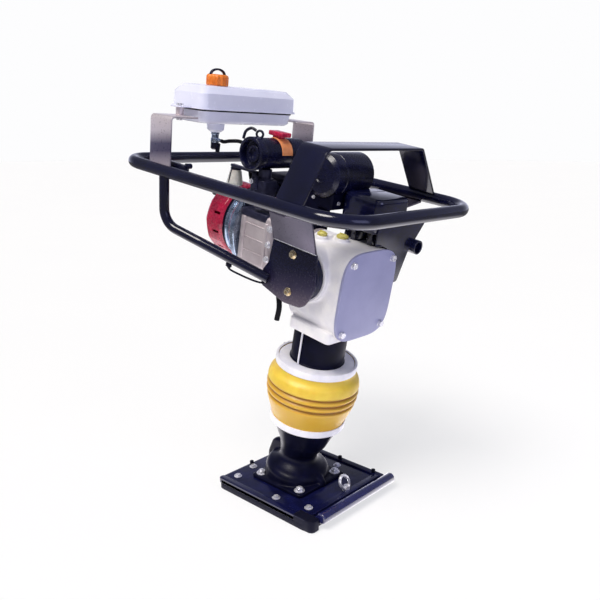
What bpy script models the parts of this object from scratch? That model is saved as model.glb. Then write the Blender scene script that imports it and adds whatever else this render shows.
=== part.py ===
"""Tamping rammer, modelled as separate pieces, in metres with +Z up.

The shoe's bottom face is centred on the origin and +X is the way the machine travels.
Everything above the shoe leans forward: those pieces are placed in the ram's own frame,
whose X is forward, Y is sideways and Z runs up the ram.
"""

import math

import bmesh
import bpy
from mathutils import Matrix, Vector

# Overall sizes
LEAN = math.radians(11.1)
RAM_FOOT_X = -0.021
GAP = 0.0003

# Shoe and foot
SHOE_LENGTH = 0.300
SHOE_WIDTH = 0.290
PAD_THICK = 0.014
PLATE_THICK = 0.009
PLATE_INSET = 0.005
TOE_RADIUS = 0.0125
TOE_REACH = 0.013
RIM_HEIGHT = 0.006
FLANGE_HALF = 0.075
FLANGE_THICK = 0.012
BOLT_SPREAD = 0.064
TONGUE_REACH = 0.103
TONGUE_HALF = 0.023
GUSSET_THICK = 0.022
REAR_GUSSET = 0.074
SIDE_GUSSET = 0.046
SHOE_BOLT_Y = 0.118
SHOE_BOLT_X = (-0.112, 0.026, 0.124)
REAR_BOLT_SPOT = (-0.138, 0.036)
EYE_SPOT = (0.102, 0.030)
EYE_RADIUS = 0.012
DRUM_RADIUS = 0.066
WAIST_RADIUS = 0.0455
RIM_RADIUS = 0.084

# Ram: distances up the ram's axis
SOCKET_FLOOR = 0.130
CYLINDER_RADIUS = 0.052
CYLINDER_WALL = 0.0055
CYLINDER_SIDES = 20
CYLINDER_TOP = 0.364
FOOT_RIM_TOP = 0.206
GUIDE_CLEARANCE = 0.0015
GUIDE_WALL = 0.0085
GUIDE_BOTTOM = 0.270
GUIDE_FLANGE_TOP = 0.350
GUIDE_FLANGE_RADIUS = 0.0885
BELLOWS_RADIUS = 0.1085
BELLOWS_WALL = 0.0032
BELLOWS_GAP = 0.0008
ROD_RADIUS = 0.0175
PISTON_TOP = 0.262
PISTON_THICK = 0.022
SPRING_WIRE = 0.0042
SPRING_COIL = 0.0345
CLAMP_HEIGHT = 0.016

# Crankcase
CASE_HALF_WIDTH = 0.089
CASE_HALF_HEIGHT = 0.0975
CASE_MID = 0.5418
CASE_REAR = -0.046
CASE_FRONT = 0.098
CASE_WALL = 0.010
COVER_THICK = 0.007
BOLT_Y = 0.067
BOLT_Z = 0.0765
SQUARENESS = 4.0

# Gear train
MODULE = 0.002
GEAR_TEETH = 62
PINION_TEETH = 14
GEAR_SHIFT = 0.3
BACKLASH = 0.00035
GEAR_AXIS = 0.524
GEAR_REAR = 0.020
GEAR_WIDTH = 0.018
THROW = 0.018
ROD_LENGTH = 0.094
PIN_RADIUS = 0.009
WRIST_RADIUS = 0.0072
ROD_THICK = 0.014
GEAR_RIM = 0.009
HUB_RADIUS = 0.029
HUB_LENGTH = 0.0345
SHAFT_NECK = 0.010
TAIL_RADIUS = 0.007
SPINDLE_RADIUS = 0.0117
REAR_BEARING_RADIUS = 0.0172
FRONT_BEARING_RADIUS = 0.014
CRANK_BEARING_RADIUS = 0.0235

# Handle
MOUNT_X = 0.005
MOUNT_Z = 0.572
MOUNT_RADIUS = 0.055
BOSS_HALF = 0.098
BRACKET_Y = 0.1195
SHEET = 0.005
TUBE_RADIUS = 0.0135
GUARD_RADIUS = 0.011
HANDLE_HALF = 0.225
HANDLE_REAR = -0.492
HANDLE_FRONT = 0.192
HANDLE_Z = 0.7315
HANDLE_SLOPE = 0.038
REAR_BEND = 0.070
FRONT_BEND = 0.085

# Tank
TANK_X = -0.3680
TANK_Z = 0.8530
TANK_PITCH = math.radians(3.7)
TANK_HALF_DEPTH = 0.059
TANK_HALF_LENGTH = 0.1490
TANK_WALL = 0.002
TANK_TOP = 0.050
TANK_SHOULDER = 0.028
TANK_BOTTOM = -0.032
NECK_RADIUS = 0.0195
CAP_Y = -0.070
CAP_X = 0.0095
COCK_X = 0.0120
TANK_BRACKET_X = -0.352
SHELF_DROP = 0.0185
EAR_REACH = 0.019

# Engine
SHAFT_RADIUS = 0.0125
RECOIL_RADIUS = 0.086
RECOIL_REAR = -0.335
ENGINE_REAR = -0.235
ENGINE_FRONT = -0.125
ROPE_RISE = 0.055
PULLEY_FRONT = -0.306
PULLEY_GROOVE = 0.040
POST_RADIUS = 0.008
FILTER_RADIUS = 0.036
FILTER_X = -0.190
FILTER_Z = 0.784
CANISTER_RADIUS = 0.048
CANISTER_SPOT = (-0.055, 0.765)
CANISTER_NEAR = -0.022
STAND_REAR = -0.100
STAND_FRONT = -0.058
STAND_Y = 0.012
STAND_WIDTH = 0.048
CLUTCH_RADIUS = 0.0425
CARB_SPOT = (-0.178, -0.065, 0.706)
CARB_SIZE = (0.046, 0.044, 0.048)
CHOKE_THICK = 0.002
STRAINER_SPOT = (-0.268, -0.070, 0.716)
STRAINER_TOP = 0.022
HEAD_SPOT = (-0.180, 0.015)
HEAD_SIZE = (0.082, 0.084, 0.024)
MUFFLER_SPOT = (0.040, 0.062, 0.700)
MUFFLER_SIZE = (0.092, 0.088, 0.070)
PIPE_Y = 0.047
PIPE_Z = 0.706
PIPE_RADIUS = 0.008

# Sizes that follow from the others
GUIDE_BORE = CYLINDER_RADIUS + GUIDE_CLEARANCE
GUIDE_RADIUS = GUIDE_BORE + GUIDE_WALL
EAR_Y = TANK_HALF_LENGTH + EAR_REACH
GEAR_RADIUS = MODULE * GEAR_TEETH / 2
PINION_RADIUS = MODULE * PINION_TEETH / 2
ENGINE_AXIS = GEAR_AXIS + GEAR_RADIUS + PINION_RADIUS
CRANK_PIN_Z = GEAR_AXIS + THROW
WRIST_Z = CRANK_PIN_Z - ROD_LENGTH
CASE_BOTTOM = CASE_MID - CASE_HALF_HEIGHT
CASE_TOP = CASE_MID + CASE_HALF_HEIGHT
PLATE_BOTTOM = PAD_THICK + GAP
PLATE_TOP = PLATE_BOTTOM + PLATE_THICK
FLANGE_BOTTOM = PLATE_TOP + GAP
FLANGE_TOP = FLANGE_BOTTOM + FLANGE_THICK

# How a piece's own Z or flat face is turned
UPRIGHT = (0.0, 0.0, 0.0)
ALONG_X = (0.0, math.pi / 2, 0.0)
ALONG_Y = (-math.pi / 2, 0.0, 0.0)
FACING_X = (math.pi / 2, 0.0, math.pi / 2)
FACING_Y = (math.pi / 2, 0.0, 0.0)

# Finishes: colour, roughness, metallic
BLACK_PAINT = ((0.012, 0.012, 0.022), 0.25, 0.0)
NAVY_PAINT = ((0.018, 0.020, 0.070), 0.30, 0.0)
WHITE_PAINT = ((0.78, 0.78, 0.80), 0.40, 0.0)
LILAC_PAINT = ((0.42, 0.42, 0.62), 0.35, 0.0)
TANK_PAINT = ((0.62, 0.64, 0.80), 0.30, 0.0)
RED_PAINT = ((0.62, 0.02, 0.05), 0.30, 0.0)
STEEL = ((0.55, 0.55, 0.57), 0.30, 1.0)
ZINC = ((0.72, 0.60, 0.36), 0.30, 1.0)
ALUMINIUM = ((0.70, 0.68, 0.66), 0.45, 1.0)
BLACK_RUBBER = ((0.015, 0.015, 0.015), 0.70, 0.0)
YELLOW_RUBBER = ((0.85, 0.55, 0.03), 0.50, 0.0)
YELLOW_PLASTIC = ((0.80, 0.65, 0.05), 0.40, 0.0)
ORANGE_PLASTIC = ((0.85, 0.25, 0.02), 0.35, 0.0)
BLACK_PLASTIC = ((0.020, 0.020, 0.022), 0.45, 0.0)
CLEAR_PLASTIC = ((0.80, 0.80, 0.76), 0.20, 0.0)


def collection(name):
    """A new collection in the scene."""
    made = bpy.data.collections.new(name)
    bpy.context.scene.collection.children.link(made)
    return made


def frame(name, parent=None, spot=(0, 0, 0), turn=UPRIGHT):
    """An empty that carries the pieces of one moving group."""
    made = bpy.data.objects.new(name, None)
    made.parent = parent
    made.location = spot
    made.rotation_euler = turn
    MODEL.objects.link(made)
    return made


def finish(piece, look):
    """Gives a piece its own material."""
    colour, roughness, metallic = look
    made = bpy.data.materials.new(piece.name)
    made.use_nodes = True
    shader = made.node_tree.nodes["Principled BSDF"]
    shader.inputs["Base Color"].default_value = (*colour, 1.0)
    shader.inputs["Roughness"].default_value = roughness
    shader.inputs["Metallic"].default_value = metallic
    piece.data.materials.append(made)


def place(name, data, group, spot, turn, look):
    """Puts new data in the scene, at a spot of the ram's frame or of the world."""
    piece = bpy.data.objects.new(name, data)
    moving = group is not None and group.parent is not None
    piece.parent = group
    piece.location = Vector(spot) - (group.location if moving else Vector())
    piece.rotation_euler = turn
    MODEL.objects.link(piece)
    if look:
        finish(piece, look)
    return piece


def smooth(mesh):
    """Shades round faces smooth and keeps edges over 35 degrees sharp."""
    mesh.shade_smooth()
    mesh.set_sharp_from_angle(angle=math.radians(35))


def box(name, group, spot, size, look=None, turn=UPRIGHT, round_by=0.0, rounds=1):
    """A block, its edges rounded if asked."""
    mesh = bpy.data.meshes.new(name)
    shape = bmesh.new()
    bmesh.ops.create_cube(shape, size=1.0)
    bmesh.ops.scale(shape, vec=size, verts=shape.verts)
    shape.to_mesh(mesh)
    shape.free()
    piece = place(name, mesh, group, spot, turn, look)
    if round_by:
        bevel(piece, round_by, rounds)
    return piece


def bevel(piece, width, segments=1):
    """Rounds the sharp edges of a piece."""
    step = piece.modifiers.new("rounded edges", "BEVEL")
    step.width = width
    step.segments = segments
    step.limit_method = "ANGLE"
    step.angle_limit = math.radians(40)


def drum(name, group, spot, radius, length, look=None, turn=UPRIGHT, sides=20):
    """A cylinder or a hexagon, centred on its spot."""
    mesh = bpy.data.meshes.new(name)
    shape = bmesh.new()
    size = {"radius1": radius, "radius2": radius, "depth": length}
    bmesh.ops.create_cone(shape, cap_ends=True, segments=sides, **size)
    half_side = Matrix.Rotation(math.pi / sides, 3, "Z")
    bmesh.ops.rotate(shape, verts=shape.verts, cent=(0, 0, 0), matrix=half_side)
    shape.to_mesh(mesh)
    shape.free()
    smooth(mesh)
    return place(name, mesh, group, spot, turn, look)


def turned(name, group, spot, profile, look=None, turn=UPRIGHT, steps=20, ring=False):
    """A profile of (radius, height) pairs spun round its own Z; a ring's profile is closed."""
    mesh = bpy.data.meshes.new(name)
    points = [(radius, 0.0, height) for radius, height in profile]
    edges = [(i, i + 1) for i in range(len(points) - 1)]
    if ring:
        edges.append((len(points) - 1, 0))
    mesh.from_pydata(points, edges, [])
    piece = place(name, mesh, group, spot, turn, look)
    screw = piece.modifiers.new("spin", "SCREW")
    screw.steps = steps
    screw.render_steps = steps
    screw.use_merge_vertices = True
    screw.merge_threshold = 0.00001
    return piece


def spline(curve, points, cyclic):
    """Adds one run of straight segments to a curve."""
    run = curve.splines.new("POLY")
    run.points.add(len(points) - 1)
    for spot, point in zip(run.points, points):
        spot.co = (*point, 1.0)
    run.use_cyclic_u = cyclic


def plate(name, group, spot, thickness, outline, look=None, turn=UPRIGHT, holes=()):
    """A flat outline of (x, y) pairs with holes, given its thickness."""
    curve = bpy.data.curves.new(name, "CURVE")
    curve.dimensions = "2D"
    curve.fill_mode = "BOTH"
    curve.extrude = thickness / 2
    for edge in (outline, *holes):
        spline(curve, [(x, y, 0.0) for x, y in edge], True)
    return place(name, curve, group, spot, turn, look)


def tube(name, group, path, radius, look=None, resolution=3, cyclic=False):
    """A round tube or wire along points of the ram's frame."""
    curve = bpy.data.curves.new(name, "CURVE")
    curve.dimensions = "3D"
    curve.bevel_depth = radius
    curve.bevel_resolution = resolution
    curve.use_fill_caps = not cyclic
    start = Vector(path[0])
    spline(curve, [Vector(point) - start for point in path], cyclic)
    return place(name, curve, group, start, UPRIGHT, look)


def as_mesh(piece):
    """Turns a curve object into a welded mesh, so that it can be cut or joined."""
    bpy.context.view_layer.update()
    graph = bpy.context.evaluated_depsgraph_get()
    mesh = bpy.data.meshes.new_from_object(piece.evaluated_get(graph))
    shape = bmesh.new()
    shape.from_mesh(mesh)
    bmesh.ops.remove_doubles(shape, verts=shape.verts, dist=0.00001)
    bmesh.ops.dissolve_limit(shape, angle_limit=0.001, verts=shape.verts, edges=shape.edges)
    shape.to_mesh(mesh)
    shape.free()
    name = piece.name
    made = bpy.data.objects.new(name, mesh)
    made.parent = piece.parent
    made.matrix_world = piece.matrix_world
    MODEL.objects.link(made)
    bpy.data.objects.remove(piece)
    made.name = name
    return made


def combine(target, tool, operation):
    """Adds one Boolean to a piece and puts the tool away with the cutters."""
    if tool.name in MODEL.objects:
        MODEL.objects.unlink(tool)
        CUTTERS.objects.link(tool)
    tool.hide_render = True
    tool.display_type = "WIRE"
    step = target.modifiers.new(tool.name, "BOOLEAN")
    step.operation = operation
    step.object = tool


def cut(target, *tools):
    """Takes the tools out of a piece."""
    for tool in tools:
        combine(target, tool, "DIFFERENCE")


def bore(target, group, spot, radius, length, turn=UPRIGHT, sides=20):
    """Cuts a round hole whose flats clear a shaft of this radius by the gap."""
    wide = (radius + GAP) / math.cos(math.pi / sides)
    cut(target, drum(f"{target.name} bore", group, spot, wide, length, turn=turn, sides=sides))


def join(target, *tools):
    """Welds the tools to a piece."""
    for tool in tools:
        combine(target, tool, "UNION")


def fillet(points, radius, steps=4, closed=True):
    """The corners of a path replaced by arcs; radius is one number or one for each corner."""
    corners = [Vector(point) for point in points]
    count = len(corners)
    radii = radius if isinstance(radius, (list, tuple)) else [radius] * count
    path = []
    for i, corner in enumerate(corners):
        if not closed and i in (0, count - 1) or radii[i] <= 0:
            path.append(corner)
            continue
        before = corners[i - 1] - corner
        after = corners[(i + 1) % count] - corner
        half = before.angle(after) / 2
        if half > math.radians(89.5):
            path.append(corner)
            continue
        reach = min(radii[i] / math.tan(half), 0.49 * before.length, 0.49 * after.length)
        bend = reach * math.tan(half)
        middle = corner + (before.normalized() + after.normalized()).normalized() * bend / math.sin(half)
        first = corner + before.normalized() * reach - middle
        last = corner + after.normalized() * reach - middle
        for step in range(steps + 1):
            path.append(middle + first.slerp(last, step / steps) * bend)
    return [tuple(point) for point in path]


def rectangle(half_x, half_y, radius, steps=4, middle=(0.0, 0.0)):
    """The outline of a rectangle with round corners."""
    x, y = middle
    corners = [(x - half_x, y - half_y, 0), (x + half_x, y - half_y, 0)]
    corners += [(x + half_x, y + half_y, 0), (x - half_x, y + half_y, 0)]
    return [point[:2] for point in fillet(corners, radius, steps)]


def circle(radius, middle=(0.0, 0.0), sides=24):
    """The outline of a circle."""
    x, y = middle
    turns = [2 * math.pi * i / sides for i in range(sides)]
    return [(x + radius * math.cos(a), y + radius * math.sin(a)) for a in turns]


def soft_square(half_x, half_y, sides=28):
    """A superellipse: a square with bulging sides and very round corners."""
    outline = []
    for i in range(sides):
        angle = 2 * math.pi * (i + 0.5) / sides
        c, s = math.cos(angle), math.sin(angle)
        reach = (abs(c) ** SQUARENESS + abs(s) ** SQUARENESS) ** (-1 / SQUARENESS)
        outline.append((half_x * reach * c, half_y * reach * s))
    return outline


def loft(name, group, spot, sections, look=None, turn=UPRIGHT):
    """A closed skin over outlines with equal point counts, each given as (height, outline)."""
    mesh = bpy.data.meshes.new(name)
    shape = bmesh.new()
    rings = []
    for height, outline in sections:
        rings.append([shape.verts.new((x, y, height)) for x, y in outline])
    count = len(rings[0])
    for lower, upper in zip(rings, rings[1:]):
        for i in range(count):
            j = (i + 1) % count
            shape.faces.new((lower[i], lower[j], upper[j], upper[i]))
    shape.faces.new(list(reversed(rings[0])))
    shape.faces.new(rings[-1])
    shape.to_mesh(mesh)
    shape.free()
    smooth(mesh)
    return place(name, mesh, group, spot, turn, look)


def ram_x(height):
    """Where the ram's axis is at a height over the floor."""
    return RAM_FOOT_X + height * math.tan(LEAN)


# Shoe and foot


def shoe():
    """Wear pad, and the steel plate on it with its rolled front lip and side rims."""
    outline = rectangle(SHOE_LENGTH / 2, SHOE_WIDTH / 2, 0.018)
    pad = as_mesh(plate("shoe_pad", None, (0, 0, PAD_THICK / 2), PAD_THICK, outline, BLACK_PLASTIC))
    bevel(pad, 0.002, 1)
    half_length = SHOE_LENGTH / 2 - PLATE_INSET
    half_width = SHOE_WIDTH / 2 - PLATE_INSET
    toe_x = SHOE_LENGTH / 2 + TOE_REACH
    toe_z = PLATE_BOTTOM + TOE_RADIUS
    profile = [(-half_length, PLATE_TOP), (-half_length, PLATE_BOTTOM)]
    for i in range(10):
        angle = math.radians(-95 + 27 * i)
        profile.append((toe_x + TOE_RADIUS * math.cos(angle), toe_z + TOE_RADIUS * math.sin(angle)))
    profile.append((toe_x - TOE_RADIUS - 0.004, PLATE_TOP))
    steel = as_mesh(plate("shoe_plate", None, (0, 0, 0), 2 * half_width, profile, turn=FACING_Y))
    finish(steel, NAVY_PAINT)
    for side in (-1, 1):
        y = side * (half_width - RIM_HEIGHT / 2)
        z = PLATE_BOTTOM + (PLATE_THICK + RIM_HEIGHT) / 2
        size = (2 * half_length - 0.012, RIM_HEIGHT, PLATE_THICK + RIM_HEIGHT)
        join(steel, box("side rim", None, (0, y, z), size, round_by=0.002))
    reach = toe_x + TOE_RADIUS + 0.001
    middle = (reach - half_length) / 2
    trim = rectangle(reach - middle, half_width, 0.014, middle=(middle, 0.0))
    prism = as_mesh(plate("corner trim", None, (0, 0, 0.03), 0.08, trim))
    combine(steel, prism, "INTERSECT")
    spots = [(x, side * SHOE_BOLT_Y) for x in SHOE_BOLT_X for side in (-1, 1)]
    spots += [(REAR_BOLT_SPOT[0], side * REAR_BOLT_SPOT[1]) for side in (-1, 1)]
    for x, y in spots:
        join(steel, drum("shoe bolt", None, (x, y, PLATE_TOP + 0.001), 0.0065, 0.006, sides=6))
    x, y = EYE_SPOT
    base_height = 0.012
    eye_spot = (x, y, PLATE_TOP + base_height / 2 - 0.001)
    join(steel, drum("eye bolt", None, eye_spot, 0.009, base_height, sides=6))
    centre = PLATE_TOP + base_height - 0.001 + EYE_RADIUS
    loop = []
    for i in range(10):
        angle = 2 * math.pi * i / 10
        loop.append((x, y + EYE_RADIUS * math.cos(angle), centre + EYE_RADIUS * math.sin(angle)))
    join(steel, as_mesh(tube("tie ring", None, loop, 0.003, resolution=1, cyclic=True)))


def gusset(casting, middle, reach, height, turn):
    """One thick rib, its outer corners rounded, that ties the drum to a tongue of the flange."""
    outline = [(0.020, 0.0, 0), (reach, 0.0, 0), (reach - 0.002, 0.35 * height, 0)]
    outline += [(reach - 0.016, height, 0), (0.020, height, 0)]
    outline = [point[:2] for point in fillet(outline, [0, 0, 0.01, 0.018, 0], 3)]
    spot = (middle, 0, FLANGE_BOTTOM + 0.002)
    join(casting, as_mesh(plate("gusset", None, spot, GUSSET_THICK, outline, turn=turn)))


def foot_flange(casting):
    """Square bolting flange with a tongue and a gusset on each side, and its four nuts."""
    middle = ram_x(FLANGE_TOP)
    side = [(FLANGE_HALF, -TONGUE_HALF), (TONGUE_REACH, -TONGUE_HALF), (TONGUE_REACH, TONGUE_HALF)]
    side += [(FLANGE_HALF, TONGUE_HALF), (FLANGE_HALF, FLANGE_HALF)]
    corners = []
    for quarter in range(4):
        turned_side = Matrix.Rotation(quarter * math.pi / 2, 2)
        corners += [(*(turned_side @ Vector(point)), 0.0) for point in side]
    outline = [point[:2] for point in fillet(corners, [0.003, 0.010, 0.010, 0.003, 0.016] * 4, 2)]
    flange_spot = (middle, 0, FLANGE_BOTTOM + FLANGE_THICK / 2)
    join(casting, as_mesh(plate("foot flange", None, flange_spot, FLANGE_THICK, outline)))
    for quarter in range(4):
        height = REAR_GUSSET if quarter == 2 else SIDE_GUSSET
        gusset(casting, middle, TONGUE_REACH - 0.001, height, (math.pi / 2, 0.0, quarter * math.pi / 2))
    for side in (-1, 1):
        for end in (-1, 1):
            x = middle + end * BOLT_SPREAD
            y = side * BOLT_SPREAD
            join(casting, drum("flange nut", None, (x, y, FLANGE_TOP + 0.003), 0.0095, 0.008, sides=6))


def foot():
    """Foot casting: bolting flange, drum, leaning cone and the rim that holds the bellows."""
    profile = [
        (0.0, FOOT_RIM_TOP),
        (RIM_RADIUS, FOOT_RIM_TOP),
        (RIM_RADIUS, FOOT_RIM_TOP - 0.019),
        (RIM_RADIUS - 0.004, FOOT_RIM_TOP - 0.024),
        (CYLINDER_RADIUS + 0.018, SOCKET_FLOOR + 0.030),
        (CYLINDER_RADIUS + 0.005, SOCKET_FLOOR - 0.002),
        (WAIST_RADIUS + 0.003, 0.100),
        (WAIST_RADIUS, 0.086),
        (WAIST_RADIUS + 0.004, 0.074),
        (DRUM_RADIUS - 0.008, 0.062),
        (DRUM_RADIUS, 0.052),
        (DRUM_RADIUS, 0.0),
        (0.0, 0.0),
    ]
    casting = turned("foot_casting", RAM, (0, 0, 0), profile, BLACK_PAINT)
    foot_flange(casting)
    below = box("below flange", None, (0, 0, FLANGE_BOTTOM - 0.05), (0.5, 0.5, 0.1))
    depth = FOOT_RIM_TOP + 0.01 - SOCKET_FLOOR
    socket_spot = (0, 0, SOCKET_FLOOR + depth / 2)
    cut(casting, below)
    bore(casting, RAM, socket_spot, CYLINDER_RADIUS, depth)


def bellows_profile():
    """The rubber's wall, outside down and inside up: a swelling with three tight grooves."""
    top = GUIDE_FLANGE_TOP - 0.017
    bottom = FOOT_RIM_TOP + 0.001
    upper = GUIDE_FLANGE_RADIUS + BELLOWS_GAP
    lower = RIM_RADIUS + BELLOWS_GAP
    shares = ((0, 0), (0.15, 0.72), (0.34, 1.0), (0.57, 0.99), (0.76, 0.74), (0.93, 0.22), (1, 0))
    line = []
    for down, swell in shares:
        rest = upper + (lower - upper) * down
        peak = BELLOWS_RADIUS - BELLOWS_WALL
        line.append(Vector((rest + (peak - rest) * swell, 0, top + (bottom - top) * down)))
    grooves = [top + (bottom - top) * share for share in (0.43, 0.58, 0.72)]
    curve = smooth_line(line, 6)
    rows = set(curve[3::4])
    for middle in grooves:
        rows |= {point for point in curve if abs(point[2] - middle) < 0.0052}
    outside = [(upper + BELLOWS_WALL, GUIDE_FLANGE_TOP + 0.002), (upper + BELLOWS_WALL, top)]
    inside = [(upper, GUIDE_FLANGE_TOP + 0.002), (upper, top)]
    for i, (radius, _, height) in enumerate(sorted(rows, key=lambda point: -point[2])):
        groove = sum(0.0055 * math.exp(-(((height - middle) / 0.0032) ** 2)) for middle in grooves)
        outside.append((radius + BELLOWS_WALL - groove, height))
        if i % 2 == 0:
            inside.append((radius - 0.7 * groove, height))
    for wall, radius in ((outside, lower + BELLOWS_WALL), (inside, lower)):
        wall += [(radius, bottom), (radius, FOOT_RIM_TOP - 0.018)]
    return outside + inside[::-1]


def bellows():
    """Yellow gaiter between the foot's rim and the guide's flange, with its two white clamps."""
    turned("bellows", RAM, (0, 0, 0), bellows_profile(), YELLOW_RUBBER, steps=24, ring=True)
    for name, group, radius, height in (
        ("bellows_clamp_lower", RAM, RIM_RADIUS, FOOT_RIM_TOP - 0.009),
        ("bellows_clamp_upper", UPPER, GUIDE_FLANGE_RADIUS, GUIDE_FLANGE_TOP - 0.006),
    ):
        inner = radius + BELLOWS_GAP + BELLOWS_WALL + 0.0008
        outer = inner + 0.0018
        edge = CLAMP_HEIGHT / 2
        band = [(outer, edge), (outer, -edge), (inner, -edge), (inner, edge)]
        clamp = turned(name, group, (0, 0, height), band, WHITE_PAINT, steps=24, ring=True)
        lug = box("clamp screw", group, (-outer - 0.003, 0, height), (0.010, 0.022, 0.012))
        join(clamp, lug)


def spring(name, low, high, turns):
    """A coil spring between two heights on the ram."""
    points_per_turn = 8
    count = turns * points_per_turn
    path = []
    for i in range(count + 1):
        angle = 2 * math.pi * i / points_per_turn
        height = low + SPRING_WIRE + (high - low - 2 * SPRING_WIRE) * i / count
        path.append((SPRING_COIL * math.cos(angle), SPRING_COIL * math.sin(angle), height))
    tube(name, RAM, path, SPRING_WIRE, STEEL, resolution=1)


def ram():
    """Spring cylinder, its cap and the two springs that the piston works between."""
    inner = CYLINDER_RADIUS - CYLINDER_WALL
    floor = SOCKET_FLOOR + GAP
    inside_floor = floor + 0.007
    profile = [
        (0.0, inside_floor),
        (inner, inside_floor),
        (inner, CYLINDER_TOP),
        (CYLINDER_RADIUS, CYLINDER_TOP),
        (CYLINDER_RADIUS, floor),
        (0.0, floor),
    ]
    turned("spring_cylinder", RAM, (0, 0, 0), profile, STEEL, steps=CYLINDER_SIDES)
    cap_low = CYLINDER_TOP - 0.013
    cap_top = CYLINDER_TOP + 0.005
    bore = ROD_RADIUS + 0.0006
    cap = [
        (CYLINDER_RADIUS, cap_top),
        (CYLINDER_RADIUS, CYLINDER_TOP + GAP),
        (inner - GAP, CYLINDER_TOP + GAP),
        (inner - GAP, cap_low),
        (bore, cap_low),
        (bore, cap_top),
    ]
    turned("cylinder_cap", RAM, (0, 0, 0), cap, STEEL, steps=CYLINDER_SIDES, ring=True)
    spring("lower_spring", inside_floor + GAP, PISTON_TOP - PISTON_THICK - GAP, 5)
    spring("upper_spring", PISTON_TOP + GAP, cap_low - GAP, 5)


def piston():
    """Forked piston rod with its nut, and the piston that presses on the springs."""
    bottom = PISTON_TOP - PISTON_THICK
    neck = ROD_RADIUS - 0.005
    fork_top = WRIST_Z + 0.014
    nut_low = bottom - 0.012
    profile = [
        (0.0, fork_top),
        (ROD_RADIUS - 0.003, fork_top),
        (ROD_RADIUS, fork_top - 0.003),
        (ROD_RADIUS, PISTON_TOP + GAP),
        (neck, PISTON_TOP + GAP),
        (neck, bottom - GAP),
        (0.022, bottom - GAP),
        (0.022, nut_low),
        (0.0, nut_low),
    ]
    rod = turned("piston_rod", PISTON, (0, 0, 0), profile, STEEL)
    slot_floor = WRIST_Z - 2 * THROW - 0.014
    slot_height = fork_top + 0.01 - slot_floor
    slot_size = (ROD_THICK + 0.001, 0.06, slot_height)
    cut(rod, box("fork slot", PISTON, (0, 0, slot_floor + slot_height / 2), slot_size))
    outer = (CYLINDER_RADIUS - CYLINDER_WALL) * math.cos(math.pi / CYLINDER_SIDES) - GAP
    ring = [
        (outer, PISTON_TOP),
        (outer, PISTON_TOP - 0.007),
        (outer - 0.003, PISTON_TOP - 0.009),
        (outer - 0.003, bottom + 0.009),
        (outer, bottom + 0.007),
        (outer, bottom),
        (neck + GAP, bottom),
        (neck + GAP, PISTON_TOP),
    ]
    turned("spring_piston", PISTON, (0, 0, 0), ring, STEEL, steps=16, ring=True)


def guide():
    """Guide cylinder under the crankcase, with the flange that carries the bellows."""
    top = CASE_BOTTOM - GAP
    flange = GUIDE_FLANGE_TOP
    profile = [
        (GUIDE_RADIUS + 0.007, top),
        (GUIDE_RADIUS + 0.007, top - 0.009),
        (GUIDE_RADIUS, top - 0.012),
        (GUIDE_RADIUS, flange + 0.004),
        (GUIDE_RADIUS + 0.003, flange),
        (GUIDE_FLANGE_RADIUS, flange),
        (GUIDE_FLANGE_RADIUS, flange - 0.017),
        (GUIDE_FLANGE_RADIUS - 0.006, flange - 0.017),
        (GUIDE_FLANGE_RADIUS - 0.006, flange - 0.006),
        (GUIDE_RADIUS + 0.002, flange - 0.008),
        (GUIDE_RADIUS, flange - 0.012),
        (GUIDE_RADIUS, GUIDE_BOTTOM),
        (GUIDE_BORE, GUIDE_BOTTOM),
        (GUIDE_BORE, top),
    ]
    turned("guide_cylinder", UPPER, (0, 0, 0), profile, BLACK_PAINT, ring=True)


# Crankcase


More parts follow.
